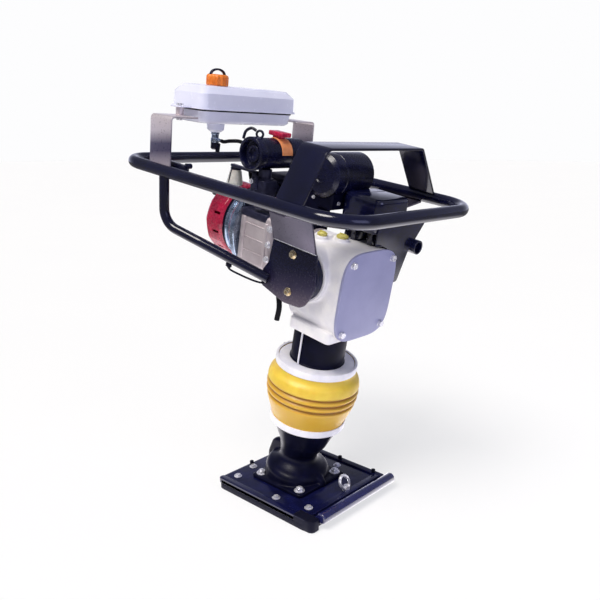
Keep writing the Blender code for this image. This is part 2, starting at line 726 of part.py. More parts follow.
def crankcase():
    """Cast case with its mounting bosses, opened for the gears, the crank and the clutch."""
    sections = [
        (CASE_REAR, soft_square(CASE_HALF_WIDTH - 0.012, CASE_HALF_HEIGHT - 0.012)),
        (CASE_REAR + 0.010, soft_square(CASE_HALF_WIDTH - 0.004, CASE_HALF_HEIGHT - 0.004)),
        (CASE_FRONT - 0.010, soft_square(CASE_HALF_WIDTH - 0.002, CASE_HALF_HEIGHT - 0.002)),
        (CASE_FRONT - 0.008, soft_square(CASE_HALF_WIDTH, CASE_HALF_HEIGHT)),
        (CASE_FRONT, soft_square(CASE_HALF_WIDTH, CASE_HALF_HEIGHT)),
    ]
    case = loft("crankcase", UPPER, (0, 0, CASE_MID), sections, WHITE_PAINT, FACING_X)
    boss_length = BOSS_HALF - 0.055
    bosses = []
    for side in (-1, 1):
        boss_spot = (MOUNT_X, side * (BOSS_HALF - boss_length / 2), MOUNT_Z)
        boss_radius = MOUNT_RADIUS + 0.006
        bosses.append(drum("mount boss", UPPER, boss_spot, boss_radius, boss_length, turn=ALONG_Y))
    clutch_boss_spot = (CASE_REAR + 0.02, 0, ENGINE_AXIS)
    clutch_boss = drum("clutch boss", UPPER, clutch_boss_spot, 0.046, 0.04, turn=ALONG_X)
    neck_height = GEAR_AXIS - CASE_BOTTOM
    neck_spot = (0, 0, CASE_BOTTOM + neck_height / 2)
    neck = drum("neck", UPPER, neck_spot, GUIDE_RADIUS + 0.007, neck_height)
    join(case, *bosses, clutch_boss, neck)
    cavity_rear = 0.010
    cavity_depth = CASE_FRONT + 0.01 - cavity_rear
    inside = soft_square(CASE_HALF_WIDTH - CASE_WALL, CASE_HALF_HEIGHT - CASE_WALL - 0.0035)
    cavity_sections = [(cavity_rear, inside), (cavity_rear + cavity_depth, inside)]
    cavity = loft("gear cavity", UPPER, (0, 0, CASE_MID), cavity_sections, turn=FACING_X)
    chamber = drum("crank chamber", UPPER, (-0.005, 0, GEAR_AXIS), 0.050, 0.034, turn=ALONG_X)
    well_height = GEAR_AXIS - CASE_BOTTOM + 0.02
    well_spot = (0, 0, GEAR_AXIS - well_height / 2)
    well = drum("rod well", UPPER, well_spot, THROW + 0.016, well_height)
    seat_spot = (CASE_REAR + 0.005, 0, ENGINE_AXIS)
    shaft_spot = (CASE_REAR + 0.04, 0, ENGINE_AXIS)
    cut(case, cavity, chamber, well)
    bore(case, UPPER, seat_spot, REAR_BEARING_RADIUS, 0.032, ALONG_X)
    bore(case, UPPER, shaft_spot, 0.0115, 0.05, ALONG_X)


def cover():
    """Front cover with the spindle that carries the crank gear and the pinion's front seat."""
    outline = soft_square(CASE_HALF_WIDTH + 0.001, CASE_HALF_HEIGHT + 0.001)
    face = CASE_FRONT + GAP
    spot = (face + COVER_THICK / 2, 0, CASE_MID)
    lid = as_mesh(plate("crankcase_cover", UPPER, spot, COVER_THICK, outline, turn=FACING_X))
    finish(lid, LILAC_PAINT)
    hub_end = GEAR_REAR + HUB_LENGTH
    boss_low = hub_end + 0.002
    boss_length = face + 0.002 - boss_low
    boss_spot = (boss_low + boss_length / 2, 0, GEAR_AXIS)
    boss = drum("spindle boss", UPPER, boss_spot, 0.021, boss_length, turn=ALONG_X)
    spindle_low = GEAR_REAR + 0.0068
    spindle_length = face - spindle_low
    spindle_spot = (spindle_low + spindle_length / 2, 0, GEAR_AXIS)
    spindle = drum("spindle", UPPER, spindle_spot, SPINDLE_RADIUS, spindle_length, turn=ALONG_X)
    seat_low = GEAR_REAR + 0.039
    seat_length = face + 0.002 - seat_low
    seat_spot = (seat_low + seat_length / 2, 0, ENGINE_AXIS)
    seat = drum("pinion boss", UPPER, seat_spot, 0.0195, seat_length, turn=ALONG_X)
    join(lid, boss, spindle, seat)
    bore(lid, UPPER, (seat_low, 0, ENGINE_AXIS), FRONT_BEARING_RADIUS, 0.028, ALONG_X)
    case = bpy.data.objects["crankcase"]
    for side in (-1, 1):
        for level in (-1, 1):
            y = side * BOLT_Y
            z = CASE_MID + level * BOLT_Z
            head_spot = (face + COVER_THICK + 0.002, y, z)
            head = drum("bolt head", UPPER, head_spot, 0.0078, 0.008, turn=ALONG_X, sides=6)
            shank_spot = (face - 0.009, y, z)
            join(lid, head, drum("bolt shank", UPPER, shank_spot, 0.004, 0.024, turn=ALONG_X, sides=8))
            bore(case, UPPER, (CASE_FRONT - 0.004, y, z), 0.004, 0.040, ALONG_X, 8)


def plugs():
    """Yellow oil filler and breather plugs on top of the crankcase."""
    for name, x, y, radius in (
        ("oil_filler_plug", 0.014, 0.0, 0.013),
        ("breather_plug", -0.018, -0.030, 0.011),
    ):
        seat = CASE_TOP + 0.004
        profile = [
            (0.0, seat + 0.013),
            (radius * 0.55, seat + 0.013),
            (radius * 0.6, seat + 0.005),
            (radius, seat + 0.004),
            (radius, seat + GAP),
            (0.0, seat + GAP),
        ]
        turned(name, UPPER, (x, y, 0), profile, YELLOW_PLASTIC, steps=14)
        pad = drum("plug boss", UPPER, (x, y, seat - 0.012), radius + 0.003, 0.024, sides=14)
        join(bpy.data.objects["crankcase"], pad)


# Gear train


def involute(angle):
    """The involute of a pressure angle."""
    return math.tan(angle) - angle


def tooth_outline(teeth, shift, first_angle, flank_steps):
    """A spur gear's outline: involute flanks with straight tips and roots."""
    pitch = MODULE * teeth / 2
    pressure = math.radians(20)
    base = pitch * math.cos(pressure)
    tip = pitch + MODULE * (1 + shift)
    root = pitch - MODULE * (1.25 - shift)
    width = MODULE * (math.pi / 2 + 2 * shift * math.tan(pressure)) - BACKLASH
    half_pitch = width / (2 * pitch)
    start = max(base, root)
    radii = [start + (tip - start) * i / flank_steps for i in range(flank_steps + 1)]
    outline = []
    for tooth in range(teeth):
        middle = first_angle + 2 * math.pi * tooth / teeth
        flank = []
        for radius in radii:
            here = math.acos(min(1.0, base / radius))
            flank.append((radius, half_pitch + involute(pressure) - involute(here)))
        if base > root:
            flank.insert(0, (root, flank[0][1]))
        for radius, half in flank:
            outline.append((radius * math.cos(middle - half), radius * math.sin(middle - half)))
        for radius, half in reversed(flank):
            outline.append((radius * math.cos(middle + half), radius * math.sin(middle + half)))
    return outline


def crank_gear():
    """Large gear with hub, recessed web, counterweight and the overhung crank pin."""
    outline = tooth_outline(GEAR_TEETH, -GEAR_SHIFT, math.pi / 2, 1)
    centre = (GEAR_REAR + GEAR_WIDTH / 2, 0, GEAR_AXIS)
    gear = as_mesh(plate("crank_gear", CRANK, centre, GEAR_WIDTH, outline, turn=FACING_X))
    finish(gear, STEEL)
    rim = GEAR_RADIUS - GEAR_RIM
    hub = HUB_RADIUS - 0.002
    recess = [(rim, 0.020), (rim, 0.0), (hub, 0.0), (hub, 0.020)]
    recess_spot = (GEAR_REAR + 0.010, 0, GEAR_AXIS)
    cut(gear, turned("web recess", CRANK, recess_spot, recess, turn=ALONG_X, ring=True, steps=24))
    hole_ring = (rim + HUB_RADIUS) / 2
    for angle in (0.0, 0.7, 2.44, math.pi):
        hole_spot = (GEAR_REAR, hole_ring * math.cos(angle), GEAR_AXIS + hole_ring * math.sin(angle))
        cut(gear, drum("lightening hole", CRANK, hole_spot, 0.0065, 0.03, turn=ALONG_X, sides=8))
    hub_spot = (GEAR_REAR + 0.004 + (HUB_LENGTH - 0.004) / 2, 0, GEAR_AXIS)
    join(gear, drum("hub", CRANK, hub_spot, HUB_RADIUS, HUB_LENGTH - 0.004, turn=ALONG_X))
    bore_spot = (GEAR_REAR + 0.006 + 0.02, 0, GEAR_AXIS)
    bore(gear, CRANK, bore_spot, CRANK_BEARING_RADIUS, 0.04, ALONG_X)
    weight = [(0.028, -0.035, 0), (0.046, -0.018, 0), (0.046, 0.0, 0), (-0.046, 0.0, 0)]
    weight += [(-0.046, -0.018, 0), (-0.028, -0.035, 0), (0.0, -0.046, 0)]
    weight = [point[:2] for point in fillet(weight, 0.006, 3)]
    weight_spot = (GEAR_REAR - 0.003, 0, GEAR_AXIS)
    join(gear, as_mesh(plate("counterweight", CRANK, weight_spot, 0.007, weight, turn=FACING_X)))
    pin_end = -ROD_THICK / 2 - 0.006
    pin_length = GEAR_REAR + 0.003 - pin_end
    pin_spot = (pin_end + pin_length / 2, 0, CRANK_PIN_Z)
    pin = drum("crank pin", CRANK, pin_spot, PIN_RADIUS, pin_length, turn=ALONG_X)
    collar_length = GEAR_REAR - ROD_THICK / 2 - 0.0006
    collar_spot = (GEAR_REAR - collar_length / 2 + 0.001, 0, CRANK_PIN_Z)
    collar = drum("pin collar", CRANK, collar_spot, 0.0125, collar_length + 0.002, turn=ALONG_X)
    head_spot = (pin_end + 0.0026, 0, CRANK_PIN_Z)
    head = drum("pin head", CRANK, head_spot, 0.0125, 0.0052, turn=ALONG_X, sides=6)
    join(gear, pin, collar, head)


def ring_bearing(name, group, x, height, inner, outer, width):
    """A ball bearing as one ring with its shield groove on both faces."""
    half = width / 2
    groove = half - 0.0015
    profile = [
        (outer, half),
        (outer, -half),
        ((outer + inner) / 2, -groove),
        (inner, -half),
        (inner, half),
        ((outer + inner) / 2, groove),
    ]
    turned(name, group, (x, 0, height), profile, STEEL, ALONG_X, 16, ring=True)


def conrod():
    """Connecting rod: big end round the crank pin, small end round the wrist pin."""
    big, small = 0.0185, 0.0125
    waist_big, waist_small = 0.0095, 0.0075
    outline = []
    start = math.asin(waist_big / big)
    for i in range(13):
        angle = -math.pi / 2 + start + (2 * math.pi - 2 * start) * i / 12
        outline.append((big * math.cos(angle), big * math.sin(angle)))
    start = math.asin(waist_small / small)
    for i in range(9):
        angle = math.pi / 2 + start + (2 * math.pi - 2 * start) * i / 8
        outline.append((small * math.cos(angle), -ROD_LENGTH + small * math.sin(angle)))
    spot = (0, 0, CRANK_PIN_Z)
    rod = as_mesh(plate("conrod", CONROD, spot, ROD_THICK, outline, turn=FACING_X))
    finish(rod, STEEL)
    eye = ROD_THICK + 0.01
    bore(rod, CONROD, spot, PIN_RADIUS, eye, ALONG_X)
    bore(rod, CONROD, (0, 0, WRIST_Z), WRIST_RADIUS, eye, ALONG_X, 20)
    panel = [(0.005, -0.024, 0), (0.0035, -0.076, 0), (-0.0035, -0.076, 0), (-0.005, -0.024, 0)]
    panel = [point[:2] for point in fillet(panel, 0.003, 2)]
    for side in (-1, 1):
        panel_spot = (side * ROD_THICK / 2, 0, CRANK_PIN_Z)
        cut(rod, as_mesh(plate("rod panel", CONROD, panel_spot, 0.008, panel, turn=FACING_X)))
    drum("wrist_pin", CONROD, (0, 0, WRIST_Z), WRIST_RADIUS, ROD_THICK, STEEL, ALONG_X, 20)


def pinion():
    """Pinion shaft with its teeth and the clutch drum on its rear end."""
    outline = tooth_outline(PINION_TEETH, GEAR_SHIFT, -math.pi / 2 + math.pi / PINION_TEETH, 2)
    middle = (GEAR_REAR + GEAR_WIDTH / 2, 0, ENGINE_AXIS)
    teeth = as_mesh(plate("pinion_shaft", PINION, middle, GEAR_WIDTH + 0.002, outline, turn=FACING_X))
    finish(teeth, STEEL)
    rear = -0.070
    shaft_length = GEAR_REAR - rear
    shaft_spot = (rear + shaft_length / 2, 0, ENGINE_AXIS)
    shaft = drum("shaft", PINION, shaft_spot, SHAFT_NECK, shaft_length, turn=ALONG_X)
    tail_spot = (GEAR_REAR + 0.033, 0, ENGINE_AXIS)
    tail = drum("tail", PINION, tail_spot, TAIL_RADIUS, 0.032, turn=ALONG_X)
    shell = [
        (0.0, -0.066),
        (0.036, -0.066),
        (0.036, -0.100),
        (0.033, -0.100),
        (0.033, -0.069),
        (0.0, -0.069),
    ]
    cup = turned("clutch drum", PINION, (0, 0, ENGINE_AXIS), shell, turn=ALONG_X)
    join(teeth, shaft, tail, cup)
    fits = (
        ("pinion_bearing_rear", -0.0370, ENGINE_AXIS, SHAFT_NECK, REAR_BEARING_RADIUS, 0.011),
        ("pinion_bearing_front", GEAR_REAR + 0.0465, ENGINE_AXIS, TAIL_RADIUS, FRONT_BEARING_RADIUS, 0.009),
        ("crank_bearing", GEAR_REAR + 0.0200, GEAR_AXIS, SPINDLE_RADIUS, CRANK_BEARING_RADIUS, 0.024),
    )
    for name, x, height, inner, outer, width in fits:
        ring_bearing(name, UPPER, x, height, (inner + GAP) / math.cos(math.pi / 16), outer, width)


# Engine


def clutch():
    """Bell housing between the engine and the crankcase, and the centrifugal shoes in it."""
    rear = ENGINE_FRONT + GAP
    front = CASE_REAR - GAP
    profile = [
        (0.046, front),
        (0.046, front - 0.008),
        (CLUTCH_RADIUS, front - 0.010),
        (CLUTCH_RADIUS, rear + 0.022),
        (0.062, rear + 0.008),
        (0.066, rear + 0.008),
        (0.066, rear),
        (0.0385, rear),
        (0.0385, front),
    ]
    turned("clutch_housing", UPPER, (0, 0, ENGINE_AXIS), profile, ALUMINIUM, ALONG_X, 16, ring=True)
    outline = []
    for shoe_number in range(3):
        for i in range(7):
            angle = 2 * math.pi * shoe_number / 3 + math.radians(-48 + 16 * i)
            outline.append((0.0322 * math.cos(angle), 0.0322 * math.sin(angle)))
        angle = 2 * math.pi * (shoe_number + 0.5) / 3
        outline.append((0.022 * math.cos(angle), 0.022 * math.sin(angle)))
    holes = [circle(0.0095 + GAP, sides=20)]
    plate("clutch_shoes", ENGINE, (-0.087, 0, ENGINE_AXIS), 0.022, outline, STEEL, FACING_X, holes)


def engine_shaft():
    """Engine crankshaft end to end, and the flywheel with its fan blades."""
    profile = [
        (0.0, -0.0735),
        (0.0095, -0.0735),
        (0.0095, -0.100),
        (SHAFT_RADIUS, -0.102),
        (SHAFT_RADIUS, ENGINE_REAR - 0.014),
        (0.010, ENGINE_REAR - 0.016),
        (0.010, ENGINE_REAR - 0.052),
        (0.0, ENGINE_REAR - 0.052),
    ]
    turned("engine_shaft", ENGINE, (0, 0, ENGINE_AXIS), profile, STEEL, ALONG_X, 16)
    outline = []
    blades = 8
    for blade in range(blades):
        for radius, lead in ((0.045, 0.0), (0.074, 0.10), (0.074, 0.20), (0.045, 0.16)):
            angle = 2 * math.pi * (blade + 0.5) / blades + lead
            outline.append((radius * math.cos(angle), radius * math.sin(angle)))
    spot = (ENGINE_REAR - 0.036, 0, ENGINE_AXIS)
    wheel = as_mesh(plate("flywheel", ENGINE, spot, 0.020, outline, turn=FACING_X))
    finish(wheel, ALUMINIUM)
    disc_spot = (ENGINE_REAR - 0.024, 0, ENGINE_AXIS)
    join(wheel, drum("wheel disc", ENGINE, disc_spot, 0.074, 0.008, turn=ALONG_X))
    bore_spot = (ENGINE_REAR - 0.034, 0, ENGINE_AXIS)
    bore(wheel, ENGINE, bore_spot, 0.010, 0.05, ALONG_X, 20)


def recoil_cover():
    """Red fan and starter cover: a pressed cup with air slots in its end and its side."""
    wall = 0.0025
    front = ENGINE_REAR - 0.0103
    rear = RECOIL_REAR
    outer = RECOIL_RADIUS
    profile = [
        (0.0, rear + wall),
        (outer - 0.016 - wall / 2, rear + wall),
        (outer - wall, rear + 0.016),
        (outer - wall, front),
        (outer, front),
        (outer, rear + 0.015),
        (outer - 0.016, rear),
        (0.0, rear),
    ]
    cup = turned("recoil_cover", UPPER, (0, 0, ENGINE_AXIS), profile, RED_PAINT, ALONG_X, 20)
    for i in range(6):
        angle = 2 * math.pi * (i + 0.5) / 6
        y = 0.052 * math.cos(angle)
        z = ENGINE_AXIS + 0.052 * math.sin(angle)
        slot = box("end slot", UPPER, (rear, y, z), (0.02, 0.026, 0.007), turn=(angle, 0, 0))
        cut(cup, slot)
    rope_z = ENGINE_AXIS + ROPE_RISE
    hub = drum("rope guide", UPPER, (rear - 0.004, 0.0, rope_z), 0.012, 0.012, turn=ALONG_X)
    post_length = PULLEY_FRONT - rear - 0.002
    post_spot = (rear + 0.001 + post_length / 2, 0, ENGINE_AXIS)
    post = drum("pulley post", UPPER, post_spot, POST_RADIUS, post_length, turn=ALONG_X)
    join(cup, hub, post)
    hole_spot = (rear, 0.0, rope_z)
    cut(cup, drum("rope hole", UPPER, hole_spot, 0.0045, 0.05, turn=ALONG_X, sides=8))


def engine_block():
    """Die-cast engine crankcase, its side plate and the finned cylinder with its head."""
    length = ENGINE_FRONT - ENGINE_REAR
    middle = (ENGINE_FRONT + ENGINE_REAR) / 2
    block_spot = (middle, 0, ENGINE_AXIS - 0.010)
    block = box("engine_crankcase", UPPER, block_spot, (length, 0.150, 0.126), ALUMINIUM, round_by=0.012)
    for i in range(4):
        x = ENGINE_REAR + 0.020 + 0.024 * i
        join(block, box("case rib", UPPER, (x, 0, ENGINE_AXIS - 0.012), (0.004, 0.156, 0.100)))
    drain_hose()
    bore_spot = (middle, 0, ENGINE_AXIS)
    bore(block, UPPER, bore_spot, SHAFT_RADIUS, length + 0.02, ALONG_X)
    ears = []
    for i in range(32):
        angle = 2 * math.pi * i / 32
        ear = 0.008 * max(0.0, math.cos(2 * (angle - math.pi / 4))) ** 6
        reach = RECOIL_RADIUS + 0.002 + ear
        ears.append((reach * math.cos(angle), reach * math.sin(angle)))
    holes = [circle(SHAFT_RADIUS + GAP, sides=20)]
    side_spot = (ENGINE_REAR - 0.005 - GAP, 0, ENGINE_AXIS)
    plate("engine_side_plate", UPPER, side_spot, 0.009, ears, ALUMINIUM, FACING_X, holes)
    cylinder()


def drain_hose():
    """Short rubber breather hose that hangs beside the near rubber mount, its end open."""
    points = [
        Vector((ENGINE_FRONT + GAP + 0.001, -0.060, 0.560)),
        Vector((-0.108, -0.066, 0.559)),
        Vector((-0.080, -0.088, 0.545)),
        Vector((-0.062, -0.101, 0.515)),
        Vector((-0.055, -0.103, 0.480)),
        Vector((-0.052, -0.103, 0.450)),
    ]
    tube("drain_hose", UPPER, smooth_line(points, 2), 0.0045, BLACK_RUBBER, resolution=2)


def cylinder():
    """Finned cylinder barrel with its head and rocker cover above the engine crankcase."""
    base = ENGINE_AXIS + 0.053 + GAP
    fins = 4
    pitch = 0.011
    top = base + fins * pitch + 0.004
    profile = [(0.0, top), (0.040, top)]
    for i in range(fins):
        high = top - 0.003 - i * pitch
        profile += [(0.040, high), (0.032, high - 0.0005), (0.032, high - 0.0065), (0.040, high - 0.007)]
    profile += [(0.040, base), (0.0, base)]
    barrel = turned("engine_cylinder", UPPER, (*HEAD_SPOT, 0), profile, ALUMINIUM, steps=12)
    head = box("head", UPPER, (*HEAD_SPOT, top + 0.011), HEAD_SIZE, round_by=0.004)
    rocker = box("rocker cover", UPPER, (*HEAD_SPOT, top + 0.029), (0.066, 0.068, 0.016), round_by=0.005)
    join(barrel, head, rocker)


def air_cleaner():
    """Tubular filter with its open inlet ring, and the black canister beside it."""
    y_near = -0.106
    length = 0.150
    profile = [
        (0.0, length),
        (FILTER_RADIUS - 0.004, length),
        (FILTER_RADIUS - 0.001, length - 0.004),
        (FILTER_RADIUS - 0.001, 0.022),
        (FILTER_RADIUS + 0.001, 0.020),
        (FILTER_RADIUS + 0.001, 0.0),
        (FILTER_RADIUS - 0.004, 0.0),
        (FILTER_RADIUS - 0.005, 0.016),
        (0.010, 0.018),
        (0.009, 0.008),
        (0.0, 0.008),
    ]
    turned("air_cleaner", UPPER, (FILTER_X, y_near, FILTER_Z), profile, BLACK_PLASTIC, ALONG_Y, 20)
    canister_length = 0.135
    body = [
        (0.0, canister_length),
        (CANISTER_RADIUS - 0.008, canister_length),
        (CANISTER_RADIUS, canister_length - 0.007),
        (CANISTER_RADIUS, 0.007),
        (CANISTER_RADIUS - 0.007, 0.0),
        (0.0, 0.0),
    ]
    spot = (CANISTER_SPOT[0], CANISTER_NEAR, CANISTER_SPOT[1])
    turned("filter_canister", UPPER, spot, body, BLACK_PLASTIC, ALONG_Y, 20)


def canister_stand():
    """Cast saddle that stands on the clutch housing and carries the canister."""
    x, z = CANISTER_SPOT
    foot_low = ENGINE_AXIS + 0.020
    top = z - 0.030
    middle = (STAND_REAR + STAND_FRONT) / 2
    size = (STAND_FRONT - STAND_REAR, STAND_WIDTH, top - foot_low)
    spot = (middle, STAND_Y, (top + foot_low) / 2)
    stand = box("canister_stand", UPPER, spot, size, BLACK_PAINT, round_by=0.003)
    wings = (0.070, STAND_WIDTH, 0.040)
    join(stand, box("saddle wings", UPPER, (x, STAND_Y, top - 0.020), wings, round_by=0.003))
    bore(stand, UPPER, (x, STAND_Y, z), CANISTER_RADIUS, 0.2, ALONG_Y)
    bore(stand, UPPER, (middle, 0, ENGINE_AXIS), CLUTCH_RADIUS, 0.2, ALONG_X, 16)


def carburettor():
    """Carburettor bolted to the head, its throat under the filter and its arm over the strainer."""
    x, y, z = CARB_SPOT
    carb = box("carburettor", UPPER, CARB_SPOT, CARB_SIZE, ALUMINIUM, round_by=0.004)
    bowl = drum("float bowl", UPPER, (x, y, z - 0.032), 0.016, 0.022, sides=14)
    throat_low = z + 0.017
    throat_length = FILTER_Z - FILTER_RADIUS + 0.010 - throat_low
    throat_spot = (x, y, throat_low + throat_length / 2)
    throat = drum("throat", UPPER, throat_spot, 0.015, throat_length, sides=14)
    neck_near = y + CARB_SIZE[1] / 2 - 0.003
    neck_far = HEAD_SPOT[1] - HEAD_SIZE[1] / 2 - GAP
    neck_spot = (x, (neck_near + neck_far) / 2, z + 0.004)
    neck = drum("intake neck", UPPER, neck_spot, 0.012, neck_far - neck_near, turn=ALONG_Y, sides=12)
    arm_low = STRAINER_SPOT[2] + STRAINER_TOP + GAP
    arm_rear = STRAINER_SPOT[0] - 0.006
    arm_front = x - CARB_SIZE[0] / 2 + 0.012
    arm_y = STRAINER_SPOT[1] - 0.007
    arm_size = (arm_front - arm_rear, 0.012, 0.006)
    arm = box("strainer arm", UPPER, ((arm_front + arm_rear) / 2, arm_y, arm_low + 0.003), arm_size)
    post_low = z + CARB_SIZE[2] / 2 - 0.004
    post_size = (0.012, 0.012, arm_low + 0.006 - post_low)
    post_spot = (arm_front - 0.006, arm_y, post_low + post_size[2] / 2)
    join(carb, bowl, throat, neck, arm, box("arm post", UPPER, post_spot, post_size))
    bore(carb, UPPER, (FILTER_X, y, FILTER_Z), FILTER_RADIUS - 0.001, 0.06, ALONG_Y)


def choke_and_strainer():
    """Choke lever on the carburettor's near face, and the fuel strainer's clear cup."""
    arm = [(-0.005, -0.004), (0.005, -0.004), (0.004, 0.026), (-0.004, 0.026)]
    plate("choke_lever", CHOKE, CHOKE.location, CHOKE_THICK, arm, BLACK_PLASTIC, FACING_Y)
    cup = [
        (0.0, STRAINER_TOP),
        (0.009, STRAINER_TOP),
        (0.019, 0.014),
        (0.019, 0.010),
        (0.017, -0.008),
        (0.010, -0.020),
        (0.0, -0.020),
    ]
    turned("fuel_strainer", UPPER, STRAINER_SPOT, cup, CLEAR_PLASTIC, steps=16)


def muffler():
    """Pressed-steel silencer on the case's far side, with its feet, its pipe and its outlet stub."""
    x, y, z = MUFFLER_SPOT
    length, width, height = MUFFLER_SIZE
    body = box("muffler", UPPER, MUFFLER_SPOT, MUFFLER_SIZE, BLACK_PAINT, round_by=0.010, rounds=2)
    stub = drum("outlet", UPPER, (x + length / 2, y + 0.018, z - 0.010), 0.009, 0.030, turn=ALONG_X, sides=16)
    pipe_rear = HEAD_SPOT[0] + HEAD_SIZE[0] / 2 + GAP
    pipe_front = x - length / 2 + 0.006
    pipe_spot = ((pipe_rear + pipe_front) / 2, PIPE_Y, PIPE_Z)
    pipe = drum("exhaust pipe", UPPER, pipe_spot, PIPE_RADIUS, pipe_front - pipe_rear, turn=ALONG_X, sides=12)
    flange_spot = (pipe_rear + 0.0025, PIPE_Y, PIPE_Z)
    flange = drum("pipe flange", UPPER, flange_spot, PIPE_RADIUS + 0.004, 0.005, turn=ALONG_X, sides=12)
    low = CASE_TOP - 0.020
    high = z - height / 2 + 0.006
    feet = []
    for end in (-1, 1):
        foot_spot = (x + end * length / 4, y - 0.010, (low + high) / 2)
        feet.append(box("silencer foot", UPPER, foot_spot, (0.012, 0.044, high - low)))
    join(body, stub, pipe, flange, *feet)
    seat = soft_square(CASE_HALF_WIDTH + GAP, CASE_HALF_HEIGHT + GAP)
    seat_sections = [(CASE_REAR, seat), (CASE_FRONT + 0.05, seat)]
    cut(body, loft("case seat", UPPER, (0, 0, CASE_MID), seat_sections, turn=FACING_X))
    bore(body, UPPER, (MOUNT_X, y, MOUNT_Z), MOUNT_RADIUS + 0.006, 0.2, ALONG_Y)


# Handle


def rail_z(x):
    """Height of the handle loop's plane at a forward distance."""
    return HANDLE_Z + HANDLE_SLOPE * x


def handle_path():
    """The middle line of the handle's tube."""
    corners = [
        (HANDLE_REAR, -HANDLE_HALF, rail_z(HANDLE_REAR)),
        (HANDLE_FRONT, -HANDLE_HALF, rail_z(HANDLE_FRONT)),
        (HANDLE_FRONT, HANDLE_HALF, rail_z(HANDLE_FRONT)),
        (HANDLE_REAR, HANDLE_HALF, rail_z(HANDLE_REAR)),
    ]
    return fillet(corners, [REAR_BEND, FRONT_BEND, FRONT_BEND, REAR_BEND], 5)


def handle_loop():
    """The closed loop of tube that the operator steers by."""
    tube("handle_loop", HANDLE, handle_path(), TUBE_RADIUS, BLACK_PAINT, resolution=3, cyclic=True)


def seat_on_rails(piece):
    """Hollows a piece where it is welded to the handle's tube."""
    wide = TUBE_RADIUS + GAP
    saddle = tube(f"{piece.name} saddle", HANDLE, handle_path(), wide, resolution=3, cyclic=True)
    cut(piece, as_mesh(saddle))


def side_parts(side, word):
    """Bracket, guard tube, tank bracket and rubber mount of one side of the handle."""
    y = side * BRACKET_Y
    outline = [(-0.075, 0.6300, 0), (0.052, 0.6300, 0), (0.060, 0.555, 0), (0.036, 0.508, 0)]
    outline += [(-0.020, 0.503, 0), (-0.092, 0.520, 0), (-0.092, 0.560, 0)]
    outline = fillet(outline, [0, 0, 0.02, 0.03, 0.03, 0.01, 0.02], 4)
    lower = [(x, z) for x, z, _ in outline]
    bracket = as_mesh(plate(f"side_bracket_{word}", HANDLE, (0, y, 0), SHEET, lower, turn=FACING_Y))
    finish(bracket, BLACK_PAINT)
    top = rail_z(0.0) - TUBE_RADIUS + 0.0005
    bend = [(y, 0.6295), (side * 0.151, top - 0.012), (side * (HANDLE_HALF + 0.004), top)]
    rise = sheet_profile(bend, SHEET, side)
    fold = as_mesh(plate("upper sheet", HANDLE, (-0.0105, 0, 0), 0.121, rise, turn=FACING_X))
    join(bracket, fold)
    seat_on_rails(bracket)
    for z in (MOUNT_Z - 0.041, MOUNT_Z + 0.041):
        hole_spot = (MOUNT_X - 0.015, y, z)
        cut(bracket, drum("mount hole", HANDLE, hole_spot, 0.0056, 0.03, turn=ALONG_Y, sides=16))
    rubber_inner = BOSS_HALF + GAP
    rubber_outer = BRACKET_Y - SHEET / 2 - GAP
    rubber_spot = (MOUNT_X, side * (rubber_inner + rubber_outer) / 2, MOUNT_Z)
    thick = rubber_outer - rubber_inner
    drum(f"rubber_mount_{word}", UPPER, rubber_spot, MOUNT_RADIUS, thick, BLACK_RUBBER, ALONG_Y, 32)
    guard(side, word)
    tank_bracket(side, word)


def sheet_profile(points, thickness, side):
    """The outline of bent sheet metal that follows a line of (y, z) points."""
    line = [Vector(point) for point in points]
    left = []
    right = []
    for i, point in enumerate(line):
        ahead = (line[min(i + 1, len(line) - 1)] - line[max(i - 1, 0)]).normalized()
        across = Vector((-ahead.y, ahead.x)) * thickness / 2
        left.append(tuple(point + across))
        right.append(tuple(point - across))
    outline = left + right[::-1]
    return outline if side > 0 else outline[::-1]


def guard(side, word):
    """Lower guard tube, from under the rail down and forward to the side bracket."""
    top = rail_z(-0.330) - 0.004
    inner = BRACKET_Y + SHEET / 2 + GAP
    corners = [
        (-0.330, side * (HANDLE_HALF - 0.002), top),
        (-0.322, side * (HANDLE_HALF - 0.006), 0.602),
        (-0.225, side * (HANDLE_HALF - 0.030), 0.585),
        (-0.070, side * (inner + 0.001), 0.540),
    ]
    path = fillet(corners, [0, 0.045, 0.06, 0], 4, closed=False)
    guard_tube = as_mesh(tube(f"guard_tube_{word}", HANDLE, path, GUARD_RADIUS, BLACK_PAINT, resolution=2))
    seat_on_rails(guard_tube)
    inside = box("bracket side", HANDLE, (-0.070, 0, 0.540), (0.12, 2 * inner, 0.12))
    cut(guard_tube, inside)


def tank_bracket(side, word):
    """Bent upright plate that stands on the rail and carries the tank's ear on its shelf."""
    shelf = -SHELF_DROP - 0.002
    low = rail_z(TANK_BRACKET_X) - TANK_Z
    line = [(side * HANDLE_HALF, low), (side * HANDLE_HALF, shelf), (side * (EAR_Y - 0.013), shelf)]
    turn = (math.pi / 2 - TANK_PITCH, 0.0, math.pi / 2)
    rise = sheet_profile(line, 0.004, side)
    spot = tank_point(TANK_BRACKET_X - TANK_X, 0, 0)
    bracket = as_mesh(plate(f"tank_bracket_{word}", HANDLE, spot, 0.074, rise, turn=turn))
    finish(bracket, BLACK_PAINT)
    seat_on_rails(bracket)
    bush_height = SHELF_DROP - 0.0015 - GAP
    bush_spot = tank_point(0.004, side * EAR_Y, -SHELF_DROP + bush_height / 2 - 0.001)
    tilt = (0.0, -TANK_PITCH, 0.0)
    bush = drum("ear bush", HANDLE, bush_spot, 0.009, bush_height + 0.002, turn=tilt, sides=16)
    nut_spot = tank_point(0.004, side * EAR_Y, -SHELF_DROP - 0.007)
    join(bracket, bush, drum("ear nut", HANDLE, nut_spot, 0.0075, 0.008, turn=tilt, sides=6))


